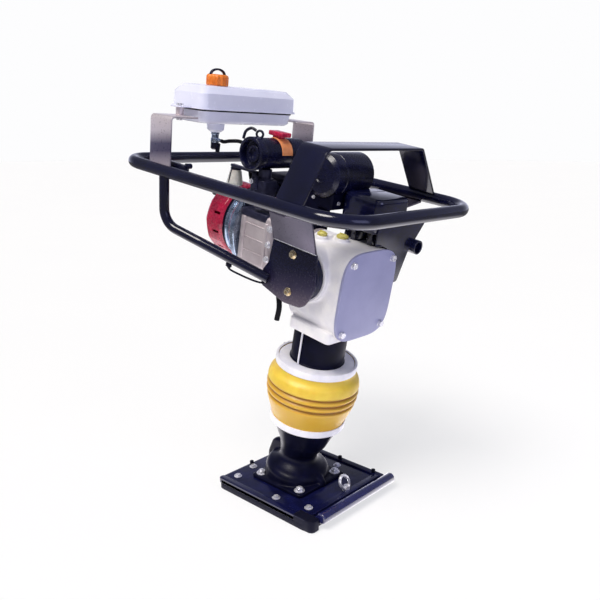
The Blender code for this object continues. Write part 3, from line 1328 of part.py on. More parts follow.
def lifting_bracket():
    """Wide sheet-metal arch over the balance point, standing on both rails."""
    foot_z = rail_z(0.05)
    line = [(-HANDLE_HALF, foot_z), (-0.172, 0.846), (0.172, 0.846), (HANDLE_HALF, foot_z)]
    rise = sheet_profile(line, 0.005, -1)
    arch = as_mesh(plate("lifting_bracket", HANDLE, (0.050, 0, 0), 0.068, rise, turn=FACING_X))
    finish(arch, BLACK_PAINT)
    seat_on_rails(arch)


# Tank and controls


def tank_outline(height, half_depth, half_length, radius=0.020):
    """One level of the tank, as a (height, outline) section."""
    return (height, rectangle(half_depth, half_length, radius, 3))


def tank():
    """Pressed fuel tank of two halves on a seam flange, hollow, with filler neck."""
    turn = (0.0, -TANK_PITCH, 0.0)
    spot = (TANK_X, 0, TANK_Z)
    d, e = TANK_HALF_DEPTH, TANK_HALF_LENGTH
    outside = [
        tank_outline(TANK_BOTTOM, d - 0.018, e - 0.020),
        tank_outline(TANK_BOTTOM + 0.008, d - 0.008, e - 0.010),
        tank_outline(0.0, d - 0.004, e - 0.005),
        tank_outline(0.001, d, e),
        tank_outline(TANK_SHOULDER, d - 0.001, e - 0.001),
        tank_outline((TANK_SHOULDER + 2 * TANK_TOP) / 3, d - 0.005, e - 0.006),
        tank_outline(TANK_TOP, d - 0.013, e - 0.016),
    ]
    shell = loft("fuel_tank", HANDLE, spot, outside, TANK_PAINT, turn)
    w = TANK_WALL
    inside = [
        tank_outline(TANK_BOTTOM + w, d - 0.018 - w, e - 0.020 - w, 0.018),
        tank_outline(TANK_BOTTOM + 0.008, d - 0.008 - 1.5 * w, e - 0.010 - 1.5 * w, 0.018),
        tank_outline(TANK_SHOULDER - w, d - 0.004 - w, e - 0.005 - w, 0.018),
        tank_outline(TANK_TOP - w, d - 0.014 - w, e - 0.017 - w, 0.018),
    ]
    seam_outline = rectangle(d + 0.004, e + 0.004, 0.023, 3)
    seam = as_mesh(plate("seam flange", HANDLE, spot, 0.003, seam_outline, turn=turn))
    neck_low = TANK_TOP - 0.007
    neck_high = TANK_TOP + 0.007
    neck_spot = tank_point(CAP_X, CAP_Y, (neck_low + neck_high) / 2)
    neck = drum("filler neck", HANDLE, neck_spot, NECK_RADIUS, neck_high - neck_low, turn=turn)
    for side in (-1, 1):
        ear_spot = tank_point(0.004, side * (e + EAR_Y + 0.012) / 2, 0.0)
        ear_size = (0.040, EAR_Y + 0.012 - e + 0.006, 0.003)
        ear = box("tank ear", HANDLE, ear_spot, ear_size, turn=turn)
        bolt_spot = tank_point(0.004, side * EAR_Y, 0.0035)
        join(shell, ear, drum("ear bolt", HANDLE, bolt_spot, 0.0075, 0.006, turn=turn, sides=6))
    join(shell, seam, neck)
    cut(shell, loft("tank inside", HANDLE, spot, inside, turn=turn))
    cut(shell, drum("filler bore", HANDLE, neck_spot, NECK_RADIUS - 0.0025, 0.03, turn=turn))
    cap_and_cock(turn)


def tank_point(x, y, z):
    """A point of the tank's own tilted frame, in the ram's frame."""
    c, s = math.cos(TANK_PITCH), math.sin(TANK_PITCH)
    return (TANK_X + x * c - z * s, y, TANK_Z + x * s + z * c)


def cap_and_cock(turn):
    """Filler cap with its dark crown, and the fuel cock with its lever under the tank."""
    seat = TANK_TOP + GAP
    sides = 16
    bore_radius = (NECK_RADIUS + GAP) / math.cos(math.pi / sides)
    profile = [
        (0.0, 0.034),
        (0.0160, 0.034),
        (0.0200, 0.030),
        (0.0205, 0.0235),
        (0.0250, 0.0225),
        (0.0260, 0.0200),
        (0.0260, 0.0020),
        (0.0245, 0.0),
        (bore_radius, 0.0),
        (bore_radius, 0.0075),
        (0.0, 0.0075),
    ]
    cap_spot = tank_point(CAP_X, CAP_Y, seat)
    cap = turned("fuel_cap", CAP, cap_spot, profile, ORANGE_PLASTIC, turn, sides)
    grip_spot = tank_point(CAP_X, CAP_Y, seat + 0.035)
    join(cap, box("cap grip", CAP, grip_spot, (0.006, 0.034, 0.008), turn=turn))
    start = TANK_BOTTOM - GAP
    low = [
        (0.0, start),
        (0.0210, start),
        (0.0195, start - 0.016),
        (0.0100, start - 0.023),
        (0.0095, start - 0.036),
        (0.0095, start - 0.058),
        (0.006, start - 0.061),
        (0.0, start - 0.061),
    ]
    cock = turned("fuel_cock", HANDLE, tank_point(COCK_X, CAP_Y, 0.0), low, STEEL, turn, 16)
    barb = drum("cock barb", HANDLE, cock_barb(), 0.0038, 0.022, turn=ALONG_X, sides=12)
    join(cock, barb)
    arm = [(-0.005, -0.017), (0.005, -0.017), (0.006, 0.005), (-0.006, 0.005)]
    plate("fuel_cock_lever", COCK, COCK.location, 0.004, arm, BLACK_PLASTIC, FACING_X)


def cock_barb():
    """The middle of the hose barb on the fuel cock."""
    return tank_point(COCK_X + 0.012, CAP_Y, TANK_BOTTOM - 0.038)


def fuel_hose():
    """Rubber fuel line from the cock over to the carburettor."""
    start = Vector(cock_barb()) + Vector((0.011 + 2 * GAP, 0, 0))
    points = [
        start,
        start + Vector((0.008, 0, 0)),
        start + Vector((0.020, 0, 0.0015)),
        Vector((-0.284, -0.069, 0.797)),
        Vector((-0.255, -0.066, 0.799)),
        Vector((-0.232, -0.064, 0.774)),
        Vector((-0.228, -0.064, 0.738)),
        Vector((-0.216, -0.065, 0.715)),
        Vector((-0.2015, -0.065, 0.712)),
    ]
    path = smooth_line(points, 2)
    tube("fuel_hose", HANDLE, path, 0.0042, BLACK_RUBBER, resolution=2)


def smooth_line(points, steps):
    """A smooth curve through the points, by Catmull-Rom steps."""
    path = []
    count = len(points)
    for i in range(count - 1):
        before = points[max(i - 1, 0)]
        here = points[i]
        ahead = points[i + 1]
        beyond = points[min(i + 2, count - 1)]
        for step in range(steps):
            t = step / steps
            bend = 2 * here + (ahead - before) * t + (2 * before - 5 * here + 4 * ahead - beyond) * t * t
            bend += (3 * here - before - 3 * ahead + beyond) * t * t * t
            path.append(tuple(bend / 2))
    path.append(tuple(points[-1]))
    return path


def throttle():
    """Throttle lever on its clamp at the near rail."""
    x = -0.290
    z = rail_z(x)
    y = -HANDLE_HALF + TUBE_RADIUS + 0.008
    clamp_spot = (x, y + 0.0005, z + 0.006)
    box("throttle_bracket", HANDLE, clamp_spot, (0.030, 0.0145, 0.034), BLACK_PLASTIC, round_by=0.003)
    arm = [(-0.007, -0.007), (0.007, -0.007), (0.006, 0.052), (-0.006, 0.052)]
    lever_y = y + 0.0005 + 0.00725 + GAP + 0.002
    lever = as_mesh(plate("throttle_lever", THROTTLE, (x, lever_y, z + 0.008), 0.004, arm, turn=FACING_Y))
    finish(lever, BLACK_PLASTIC)
    knob = drum("knob", THROTTLE, (x, lever_y + 0.008, z + 0.055), 0.008, 0.020, turn=ALONG_Y, sides=16)
    join(lever, knob)


def starter():
    """Pull grip of the recoil starter, the short end of rope behind it, and the rope's pulley."""
    z = ENGINE_AXIS + ROPE_RISE
    rope_start = RECOIL_REAR + 0.004
    neck_front = RECOIL_REAR - 0.0140
    rope_length = rope_start - neck_front - GAP
    rope_spot = (rope_start - rope_length / 2, 0, z)
    drum("starter_rope", UPPER, rope_spot, 0.0025, rope_length, BLACK_RUBBER, ALONG_X, 8)
    grip_spot = (neck_front - 0.018, 0, z)
    grip_size = (0.024, 0.088, 0.020)
    grip = box("starter_grip", STARTER, grip_spot, grip_size, BLACK_PLASTIC, round_by=0.006)
    neck = drum("grip neck", STARTER, (neck_front - 0.006, 0, z), 0.009, 0.012, turn=ALONG_X, sides=16)
    join(grip, neck)
    rear = PULLEY_FRONT - 0.018
    sheave = [
        (PULLEY_GROOVE + 0.008, PULLEY_FRONT),
        (PULLEY_GROOVE + 0.008, PULLEY_FRONT - 0.003),
        (PULLEY_GROOVE, PULLEY_FRONT - 0.006),
        (PULLEY_GROOVE, rear + 0.006),
        (PULLEY_GROOVE + 0.008, rear + 0.003),
        (PULLEY_GROOVE + 0.008, rear),
        (POST_RADIUS + GAP, rear),
        (POST_RADIUS + GAP, PULLEY_FRONT),
    ]
    turned("starter_pulley", PULLEY, (0, 0, ENGINE_AXIS), sheave, BLACK_PLASTIC, ALONG_X, 16, ring=True)


for old in list(bpy.data.objects):
    bpy.data.objects.remove(old)

MODEL = collection("tamping_rammer")
CUTTERS = collection("cutters")
RAM = frame("ram_line", spot=(RAM_FOOT_X, 0, 0), turn=(0, LEAN, 0))
UPPER = frame("upper_unit", spot=(RAM_FOOT_X, 0, 0), turn=(0, LEAN, 0))
PISTON = frame("piston_axis", UPPER, (0, 0, PISTON_TOP))
CRANK = frame("crank_axis", UPPER, (0, 0, GEAR_AXIS))
CONROD = frame("crank_pin_axis", UPPER, (0, 0, CRANK_PIN_Z))
PINION = frame("pinion_axis", UPPER, (0, 0, ENGINE_AXIS))
ENGINE = frame("engine_axis", UPPER, (ENGINE_REAR, 0, ENGINE_AXIS))
PULLEY = frame("pulley_axis", UPPER, (PULLEY_FRONT, 0, ENGINE_AXIS))
STARTER = frame("starter_line", UPPER, (RECOIL_REAR, 0, ENGINE_AXIS + ROPE_RISE))
HANDLE = frame("handle_axis", UPPER, (MOUNT_X, 0, MOUNT_Z))
CHOKE_Y = CARB_SPOT[1] - CARB_SIZE[1] / 2 - GAP - CHOKE_THICK / 2
CHOKE = frame("choke_axis", UPPER, (CARB_SPOT[0], CHOKE_Y, CARB_SPOT[2] + 0.006))
CAP = frame("cap_axis", UPPER, tank_point(CAP_X, CAP_Y, TANK_TOP + GAP))
COCK = frame("cock_axis", UPPER, tank_point(COCK_X + 0.0120, CAP_Y, TANK_BOTTOM - 0.050))
THROTTLE = frame("throttle_axis", UPPER, (-0.290, -HANDLE_HALF, rail_z(-0.290) + 0.008))

shoe()
foot()
ram()
piston()
bellows()
guide()
crankcase()
cover()
plugs()
crank_gear()
conrod()
pinion()
clutch()
engine_shaft()
recoil_cover()
engine_block()
air_cleaner()
canister_stand()
carburettor()
choke_and_strainer()
muffler()
handle_loop()
side_parts(-1, "near")
side_parts(1, "far")
lifting_bracket()
tank()
fuel_hose()
throttle()
starter()
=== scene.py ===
"""Tamping rammer: its looks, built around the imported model, in metres with +Z up."""

import math

import bmesh
import bpy
import numpy as np
from mathutils import Matrix, Vector


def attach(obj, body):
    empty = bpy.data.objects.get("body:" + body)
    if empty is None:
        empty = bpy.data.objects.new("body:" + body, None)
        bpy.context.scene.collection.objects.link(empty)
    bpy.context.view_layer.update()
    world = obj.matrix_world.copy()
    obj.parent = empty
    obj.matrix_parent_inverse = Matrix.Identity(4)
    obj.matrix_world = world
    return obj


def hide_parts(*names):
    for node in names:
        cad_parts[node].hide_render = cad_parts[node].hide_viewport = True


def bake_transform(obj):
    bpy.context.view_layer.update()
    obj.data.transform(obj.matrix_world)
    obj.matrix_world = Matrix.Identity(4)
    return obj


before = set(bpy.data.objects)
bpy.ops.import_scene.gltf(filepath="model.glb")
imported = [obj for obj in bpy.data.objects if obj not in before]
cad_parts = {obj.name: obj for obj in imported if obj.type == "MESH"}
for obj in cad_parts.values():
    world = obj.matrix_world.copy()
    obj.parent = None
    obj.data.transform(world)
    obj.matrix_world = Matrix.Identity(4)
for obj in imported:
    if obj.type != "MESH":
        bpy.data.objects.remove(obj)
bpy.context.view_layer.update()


# Camera. It stands in front of the machine on its near side, about chest high for
# someone crouching, and looks 13 degrees down.
CAMERA_SPOT = (1.021, -1.100, 0.818)
CAMERA_LOOK = (-0.666, 0.712, -0.224)
CAMERA_LENS = 39.78

camera = bpy.data.objects.new("camera", bpy.data.cameras.new("camera"))
bpy.context.scene.collection.objects.link(camera)
camera.location = CAMERA_SPOT
camera.rotation_euler = Vector(CAMERA_LOOK).to_track_quat("-Z", "Y").to_euler()
camera.data.lens = CAMERA_LENS
bpy.context.scene.camera = camera
bpy.context.scene.view_settings.view_transform = "Standard"


# Studio. White floor paper that runs into a white background and glows a little. One broad light
# stands far off on the near side, high up, and a weak cool one in front of the machine.
FLOOR_HALF = 40.0
FLOOR_DROP = 0.0006
KEY_FROM, KEY_STRENGTH, KEY_SPREAD = (0.04, -0.62, 0.95), 3.0, 28.0
FILL_SPOT, FILL_SIZE, FILL_POWER = (2.4, -0.2, 1.3), 1.4, 12.0
SKY_STRENGTH = 0.30
BACKDROP_SIDE, BACKDROP_STRENGTH, BACKDROP_HEIGHT = (-0.683, 0.730, 0.0), 1.3, 0.5
TABLE_STRENGTH, TABLE_FAINT, TABLE_SHARE = 3.0, 0.3, 0.66
TABLE_NEAR, TABLE_FAR = 0.45, 1.7


def linear(colour):
    """The linear RGBA of an sRGB hex colour: over 0.04045 a channel is ((c + 0.055) / 1.055) ** 2.4."""
    channels = np.array([int(colour[i : i + 2], 16) for i in (1, 3, 5)]) / 255
    high = ((channels + 0.055) / 1.055) ** 2.4
    return (*np.where(channels <= 0.04045, channels / 12.92, high), 1.0)


def add(tree, kind, values=(), links=(), stops=(), **settings):
    """Adds one node: settings are its options, values and links go to its inputs, stops to its ramp."""
    made = tree.nodes.new(kind)
    for name, value in settings.items():
        setattr(made, name, value)
    for name, value in dict(values).items():
        made.inputs[name].default_value = value
    for name, source in dict(links).items():
        tree.links.new(source, made.inputs[name])
    for i, (place, colour) in enumerate(stops):
        if i > 1:
            made.color_ramp.elements.new(place)
        made.color_ramp.elements[i].position = place
        made.color_ramp.elements[i].color = colour
    return made


def finish(name, colour, shade, roughness, grain, depth=0.0, metallic=0.0, coat=0.0, patch=0.03, shine=0.5):
    """A surface whose colour drifts between two colours over patches, and whose grain changes its
    gloss and stands up by depth. Grain and patch are sizes in metres; shine is the gloss level."""
    made = bpy.data.materials.new(name)
    made.use_nodes = True
    tree = made.node_tree
    shader = tree.nodes["Principled BSDF"]
    here = add(tree, "ShaderNodeTexCoord").outputs["Object"]
    drift = add(tree, "ShaderNodeTexNoise", {"Scale": 1 / patch, "Detail": 3.0}, {"Vector": here})
    ends = ((0.35, linear(colour)), (0.68, linear(shade)))
    tint = add(tree, "ShaderNodeValToRGB", links={"Fac": drift.outputs["Fac"]}, stops=ends)
    fine = add(tree, "ShaderNodeTexNoise", {"Scale": 1 / grain, "Detail": 2.0}, {"Vector": here})
    spread = {"From Min": 0.3, "From Max": 0.7, "To Min": roughness[0], "To Max": roughness[1]}
    gloss = add(tree, "ShaderNodeMapRange", spread, {"Value": fine.outputs["Fac"]})
    relief = add(tree, "ShaderNodeBump", {"Distance": depth}, {"Height": fine.outputs["Fac"]})
    tree.links.new(tint.outputs["Color"], shader.inputs["Base Color"])
    tree.links.new(gloss.outputs["Result"], shader.inputs["Roughness"])
    if depth:
        tree.links.new(relief.outputs["Normal"], shader.inputs["Normal"])
    shader.inputs["Metallic"].default_value = metallic
    shader.inputs["Coat Weight"].default_value = coat
    shader.inputs["Coat Roughness"].default_value = 0.08
    shader.inputs["Specular IOR Level"].default_value = shine
    return made


def lit_paper():
    """Floor paper on a light table: it glows a little to the eye, so shadows stay faint, and glossy
    pieces mirror a bright patch under the machine that fades with distance."""
    made = finish("white paper floor", "#fdfdfd", "#fbfbfc", (0.8, 0.9), 0.02, patch=0.8)
    tree = made.node_tree
    here = add(tree, "ShaderNodeTexCoord").outputs["Object"]
    away = add(tree, "ShaderNodeVectorMath", links={0: here}, operation="LENGTH")
    fade = {"From Min": TABLE_NEAR, "From Max": TABLE_FAR, "To Min": TABLE_STRENGTH, "To Max": TABLE_FAINT}
    fade = add(tree, "ShaderNodeMapRange", fade, {"Value": away.outputs["Value"]})
    rays = add(tree, "ShaderNodeLightPath")
    glow = add(tree, "ShaderNodeEmission", {"Color": linear("#fefefe"), "Strength": 1.0})
    seen = {0: rays.outputs["Is Camera Ray"]}
    share = add(tree, "ShaderNodeMath", {1: TABLE_SHARE}, seen, operation="MULTIPLY")
    mirrored = {"Color": linear("#f4f0f6")}
    mirrored = add(tree, "ShaderNodeEmission", mirrored, {"Strength": fade.outputs["Result"]})
    links = {0: share.outputs[0], 1: tree.nodes["Principled BSDF"].outputs[0], 2: glow.outputs[0]}
    even = add(tree, "ShaderNodeMixShader", links=links)
    links = {0: rays.outputs["Is Glossy Ray"], 1: even.outputs[0], 2: mirrored.outputs[0]}
    both = add(tree, "ShaderNodeMixShader", links=links)
    tree.links.new(both.outputs[0], tree.nodes["Material Output"].inputs["Surface"])
    return made


def studio():
    """Background, floor and lights. The background is white to the eye, cooler as light, and
    mirrored as a bright backdrop behind the machine."""
    world = bpy.data.worlds.new("studio")
    bpy.context.scene.world = world
    world.use_nodes = True
    tree = world.node_tree
    tree.nodes.clear()
    rays = add(tree, "ShaderNodeLightPath")
    aim = add(tree, "ShaderNodeTexCoord").outputs["Generated"]
    beyond = add(tree, "ShaderNodeVectorMath", {1: BACKDROP_SIDE}, {0: aim}, operation="DOT_PRODUCT")
    facing = {"From Min": 0.2, "From Max": 0.8, "To Min": 0.0, "To Max": 1.0}
    beyond = add(tree, "ShaderNodeMapRange", facing, {"Value": beyond.outputs["Value"]})
    height = add(tree, "ShaderNodeSeparateXYZ", links={"Vector": aim})
    fade = {"From Min": 0.0, "From Max": BACKDROP_HEIGHT, "To Min": BACKDROP_STRENGTH, "To Max": 0.0}
    low = add(tree, "ShaderNodeMapRange", fade, {"Value": height.outputs["Z"]})
    glow = {0: beyond.outputs["Result"], 1: low.outputs["Result"]}
    glow = add(tree, "ShaderNodeMath", links=glow, operation="MULTIPLY")
    glow = add(tree, "ShaderNodeMath", {1: SKY_STRENGTH}, {0: glow.outputs[0]}, operation="ADD")
    cool = {"Color": linear("#e4e6ff")}
    mirrored = add(tree, "ShaderNodeBackground", cool, {"Strength": glow.outputs[0]})
    seen = add(tree, "ShaderNodeBackground", {"Color": linear("#fdfdfe"), "Strength": 1.0})
    cast = add(tree, "ShaderNodeBackground", {"Color": linear("#e9ebfa"), "Strength": SKY_STRENGTH})
    links = {0: rays.outputs["Is Glossy Ray"], 1: cast.outputs[0], 2: mirrored.outputs[0]}
    lit = add(tree, "ShaderNodeMixShader", links=links)
    links = {0: rays.outputs["Is Camera Ray"], 1: lit.outputs[0], 2: seen.outputs[0]}
    both = add(tree, "ShaderNodeMixShader", links=links)
    add(tree, "ShaderNodeOutputWorld", links={"Surface": both.outputs[0]})
    mesh = bpy.data.meshes.new("floor")
    floor_signs = ((-1, -1), (1, -1), (1, 1), (-1, 1))
    corners = [(x * FLOOR_HALF, y * FLOOR_HALF, -FLOOR_DROP) for x, y in floor_signs]
    mesh.from_pydata(corners, [], [(0, 1, 2, 3)])
    floor = bpy.data.objects.new("floor", mesh)
    bpy.context.scene.collection.objects.link(floor)
    mesh.materials.append(lit_paper())
    key = bpy.data.objects.new("key_light", bpy.data.lights.new("key_light", "SUN"))
    bpy.context.scene.collection.objects.link(key)
    key.rotation_euler = Vector(KEY_FROM).to_track_quat("Z", "Y").to_euler()
    key.data.energy = KEY_STRENGTH
    key.data.angle = math.radians(KEY_SPREAD)
    key.data.color = linear("#fffaf4")[:3]
    fill = bpy.data.objects.new("fill_light", bpy.data.lights.new("fill_light", "AREA"))
    bpy.context.scene.collection.objects.link(fill)
    fill.location = FILL_SPOT
    fill.rotation_euler = (Vector(FILL_SPOT) - Vector((0, 0, 0.5))).to_track_quat("Z", "Y").to_euler()
    fill.data.size = FILL_SIZE
    fill.data.energy = FILL_POWER
    fill.data.color = linear("#c8ccff")[:3]


studio()


# Wear pad. A flat block of black polyethylene under the shoe, cut with a saw and eased along its
# edges, with a guard block over its near front corner. Bolts hold it to the shoe.
PAD_SIZE = (0.300, 0.290, 0.014)
PAD_CORNER, PAD_EDGE = 0.018, 0.0010
GUARD_BLOCK = [(0.104, -0.1448), (0.1620, -0.1448), (0.1620, -0.1175), (0.104, -0.1175)]
GUARD_ROUNDS, GUARD_TOP, GUARD_EDGE = [0.004, 0.024, 0.006, 0.004], 0.0284, 0.003

# An edge sharper than the first angle is drawn sharp, one sharper than the second is bevelled.
SHARP_ANGLE, BEVEL_ANGLE = 35, 40

# Polyethylene: black right through, waxy, scuffed dull where the ground rubs it.
pad_plastic = finish("black polyethylene", "#090a1a", "#0e0f22", (0.5, 0.66), 0.004, 0.0002, shine=0.1)


def skin(grid, loop=True, ring=False, caps=True):
    """Faces over a grid of points, row to row and column to column. Loop joins the last column to
    the first, ring the last row to the first, and caps close the two end rows."""
    rows, columns = grid.shape[:2]
    i = np.arange(rows if ring else rows - 1)[:, None]
    j = np.arange(columns if loop else columns - 1)[None, :]
    a = i * columns + j
    b = i * columns + (j + 1) % columns
    c = (i + 1) % rows * columns + (j + 1) % columns
    d = (i + 1) % rows * columns + j
    faces = np.stack([a, b, c, d], axis=-1).reshape(-1, 4).tolist()
    if caps and not ring:
        faces.append(list(range(columns))[::-1])
        faces.append(list(range((rows - 1) * columns, rows * columns)))
    return grid.reshape(-1, 3), faces


def rounded(points, radii, steps=6, closed=True):
    """A path whose corners are arcs: each arc's centre lies on the corner's bisector."""
    points = np.asarray(points, float)
    count = len(points)
    radii = np.broadcast_to(radii, count)
    path = []
    for i, corner in enumerate(points):
        if radii[i] == 0 or not closed and i in (0, count - 1):
            path.append(corner[None])
            continue
        before = points[i - 1] - corner
        after = points[(i + 1) % count] - corner
        b = before / np.linalg.norm(before)
        a = after / np.linalg.norm(after)
        half = math.acos(np.clip(a @ b, -1, 1)) / 2
        if half > math.radians(89):
            path.append(corner[None])
            continue
        room = 0.49 * min(np.linalg.norm(before), np.linalg.norm(after))
        reach = min(radii[i] / math.tan(half), room)
        middle = corner + (a + b) / np.linalg.norm(a + b) * reach / math.cos(half)
        angle = math.pi - 2 * half
        t = np.linspace(0, angle, steps + 1)[:, None]
        first = corner + b * reach - middle
        last = corner + a * reach - middle
        path.append(middle + (np.sin(angle - t) * first + np.sin(t) * last) / math.sin(angle))
    return np.vstack(path)


def rectangle(half_x, half_y, radius, steps=6, middle=(0.0, 0.0)):
    """A rectangle with round corners, run anticlockwise."""
    corners = np.array([(-half_x, -half_y), (half_x, -half_y), (half_x, half_y), (-half_x, half_y)])
    return rounded(corners + np.asarray(middle), radius, steps)


def inset(outline, by):
    """An anticlockwise outline moved inwards: each point goes along the mitre of its two sides."""
    ahead = np.roll(outline, -1, axis=0) - outline
    ahead /= np.linalg.norm(ahead, axis=1)[:, None] + 1e-12
    inward = np.stack([-ahead[:, 1], ahead[:, 0]], axis=1)
    before = np.roll(inward, 1, axis=0)
    share = 1 + np.sum(inward * before, axis=1)[:, None]
    return outline + by * (inward + before) / np.maximum(share, 0.2)


def prism(outline, low, high, edge=0.0, steps=3):
    """An outline given thickness along Z, its two rims rounded by quarter circles."""
    t = np.linspace(0, math.pi / 2, steps + 1) if edge else np.array([math.pi / 2])
    insets = edge * (1 - np.sin(t))
    heights = low + edge * (1 - np.cos(t))
    rows = [(by, z) for by, z in zip(insets, heights)]
    rows += [(by, high + low - z) for by, z in zip(insets[::-1], heights[::-1])]
    levels = [np.column_stack([inset(outline, by), np.full(len(outline), z)]) for by, z in rows]
    return skin(np.array(levels))


def joined(parts):
    """Several (points, faces) shapes as one."""
    points, faces, start = [], [], 0
    for spots, loops in parts:
        points.append(np.asarray(spots))
        faces += [[start + v for v in loop] for loop in loops]
        start += len(spots)
    return np.vstack(points), faces


def solid(name, parts):
    """Shapes as one mesh object, their double points joined and their faces turned outward."""
    points, faces = joined(parts)
    mesh = bpy.data.meshes.new(name)
    mesh.from_pydata(points.tolist(), [], faces)
    shape = bmesh.new()
    shape.from_mesh(mesh)
    bmesh.ops.remove_doubles(shape, verts=shape.verts, dist=1e-7)
    bmesh.ops.dissolve_degenerate(shape, dist=1e-8, edges=shape.edges)
    bmesh.ops.recalc_face_normals(shape, faces=shape.faces)
    shape.to_mesh(mesh)
    shape.free()
    piece = bpy.data.objects.new(name, mesh)
    bpy.context.scene.collection.objects.link(piece)
    return piece


def make(name, parts, look, body, nodes=(), lean=True, fuse=None, cuts=(), edge=0.0, blend=None):
    """Puts shapes in the scene as one piece that rides on a body and stands for its CAD nodes. Shapes
    are in the ram's frame unless lean is False; fuse melts them into one casting, and cuts are taken
    away from it."""
    piece = solid(name, parts)
    if fuse:
        melt(piece, *fuse)
    if cuts:
        carve(piece, cuts)
    if lean:
        piece.data.transform(RAM)
    piece.data.materials.clear()
    piece.data.materials.append(look)
    piece.data.shade_smooth()
    if not fuse:
        piece.data.set_sharp_from_angle(angle=math.radians(SHARP_ANGLE))
    if edge:
        step = piece.modifiers.new("eased edges", "BEVEL")
        step.width = edge
        step.segments = 2
        step.angle_limit = math.radians(BEVEL_ANGLE)
    if blend:
        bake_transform(piece)
    else:
        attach(piece, body)
    if nodes:
        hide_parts(*nodes)
    return piece


def melt(piece, voxel, passes):
    """One closed skin over overlapping shapes with filled inner corners, as in a casting: a voxel
    remesh, then smoothing."""
    remesh = piece.modifiers.new("one skin", "REMESH")
    remesh.mode = "VOXEL"
    remesh.voxel_size = voxel
    soften = piece.modifiers.new("fillets", "SMOOTH")
    soften.iterations = passes
    settle(piece)


def carve(piece, cuts):
    """Takes shapes away from a piece, one after another."""
    tools = [solid("cutter", [shape]) for shape in cuts]
    for tool in tools:
        bite = piece.modifiers.new("cut", "BOOLEAN")
        bite.object = tool
        bite.solver = "EXACT"
    settle(piece)
    for tool in tools:
        bpy.data.objects.remove(tool)


def settle(piece):
    """Gives a piece the mesh that its modifiers make, and takes them off."""
    graph = bpy.context.evaluated_depsgraph_get()
    mesh = bpy.data.meshes.new_from_object(piece.evaluated_get(graph))
    piece.modifiers.clear()
    piece.data = mesh


pad_outline = rectangle(PAD_SIZE[0] / 2, PAD_SIZE[1] / 2, PAD_CORNER, 10)
guard_outline = rounded(GUARD_BLOCK, GUARD_ROUNDS, 10)
pad = [prism(pad_outline, 0.0, PAD_SIZE[2], PAD_EDGE), prism(guard_outline, 0.0, GUARD_TOP, GUARD_EDGE)]
make("wear_pad", pad, pad_plastic, "foot", ["shoe_pad"], False)


# Shoe. A 9 mm steel plate with its front edge rolled up into a toe, rims welded along both sides
# and behind the toe, and hexagon bolts through the wear pad. It is stove enamelled in a blue black
# and carries a zinc plated ring to tie the machine down by.
PLATE_HALF = (0.1490, 0.1447)
PLATE_LOW, PLATE_HIGH = 0.0141, 0.0233
TOE_CENTRE, TOE_RADIUS = (0.163, 0.0268), 0.0125
TOE_ENDS = (-0.1165, 0.1448)
RIM_WIDTH, RIM_TOP, SIDE_RIM, FRONT_RIM = 0.0165, 0.0272, 0.292, 0.250
SHOE_BOLTS = [(-0.1208, -0.1047), (-0.1298, -0.0442), (0.0226, -0.1140), (0.1080, -0.0956)]
SHOE_BOLTS += [(0.0223, 0.1071), (-0.1208, 0.1047), (-0.1298, 0.0442)]
PAD_STUDS = [(0.008, 0.1360), (0.1157, 0.1360), (-0.1400, -0.040)]
EYE_SPOT, EYE_RADIUS, EYE_RISE, EYE_WIRE, EYE_BASE = (0.1195, 0.0265), 0.0150, 0.0170, 0.0036, 0.004
EYE_BACK, EYE_TURN = 0.003, 0.005

# Bolt heads and nuts: radius, height, washer, and how many radii the washer reaches
SHOE_BOLT, EYE_NUT = (0.0068, 0.0040, 0.0012, 1.45), (0.009, 0.0095, 0.002, 1.2)
# Studs: radius and height
PAD_STUD, STUD_EDGE = (0.0050, 0.0085), 0.001

# Stove enamel on rolled steel: deep blue black, glossy, with the faint ripple of thick paint.
navy_enamel = finish("blue black stove enamel", "#11143e", "#0c0e2c", (0.14, 0.24), 0.012, 0.0002, shine=0.4)
# Zinc plate on fasteners: bright blue white with cloudy patches.
zinc = finish("bright zinc plate", "#eeeef2", "#c6c6d0", (0.22, 0.4), 0.003, 0.0001, metallic=0.6, patch=0.01)


def sweep(path, section, closed=False, caps=True):
    """A section of (x, y) points carried along a path. Its frame turns only as much as the path
    does: each step takes the last frame's X off the new direction."""
    path = np.asarray(path, float)
    section = np.asarray(section, float)
    ahead = np.roll(path, -1, axis=0) - path if closed else np.gradient(path, axis=0)
    if closed:
        ahead = ahead + path - np.roll(path, 1, axis=0)
    ahead /= np.linalg.norm(ahead, axis=1)[:, None]
    side = np.cross(ahead[0], (0.0, 0.0, 1.0) if abs(ahead[0][2]) < 0.9 else (1.0, 0.0, 0.0))
    rows = []
    for spot, direction in zip(path, ahead):
        side = side - direction * (side @ direction)
        side = side / np.linalg.norm(side)
        rise = np.cross(direction, side)
        rows.append(spot + section[:, :1] * side + section[:, 1:] * rise)
    return skin(np.array(rows), ring=closed, caps=caps)


def full_turn(count):
    """Angles spread evenly round a full turn."""
    return np.arange(count) * 2 * math.pi / count


def circle(radius, count=24):
    """A circle's points."""
    t = full_turn(count)
    return radius * np.column_stack([np.cos(t), np.sin(t)])


def wound(radius, height, t):
    """Points round Z at the angles t, row by row, each row at its own radius and height."""
    return np.stack([radius * np.cos(t), radius * np.sin(t), height + 0 * t], axis=-1)


def lathe(profile, steps=64, ring=False):
    """A profile of (radius, height) turned round Z; a ring's profile closes on itself."""
    profile = np.asarray(profile, float)
    grid = wound(profile[:, :1], profile[:, 1:], full_turn(steps))
    return skin(grid, ring=ring, caps=False)


def eased(profile, radius=0.001, steps=3, closed=False):
    """A profile with its corners rounded, sized for small turned edges."""
    return rounded(profile, radius, steps, closed)


def spun(profile, edge, steps, ring=False, arcs=3):
    """A profile turned round Z with its corners rounded."""
    return lathe(eased(profile, edge, arcs, ring), steps, ring)


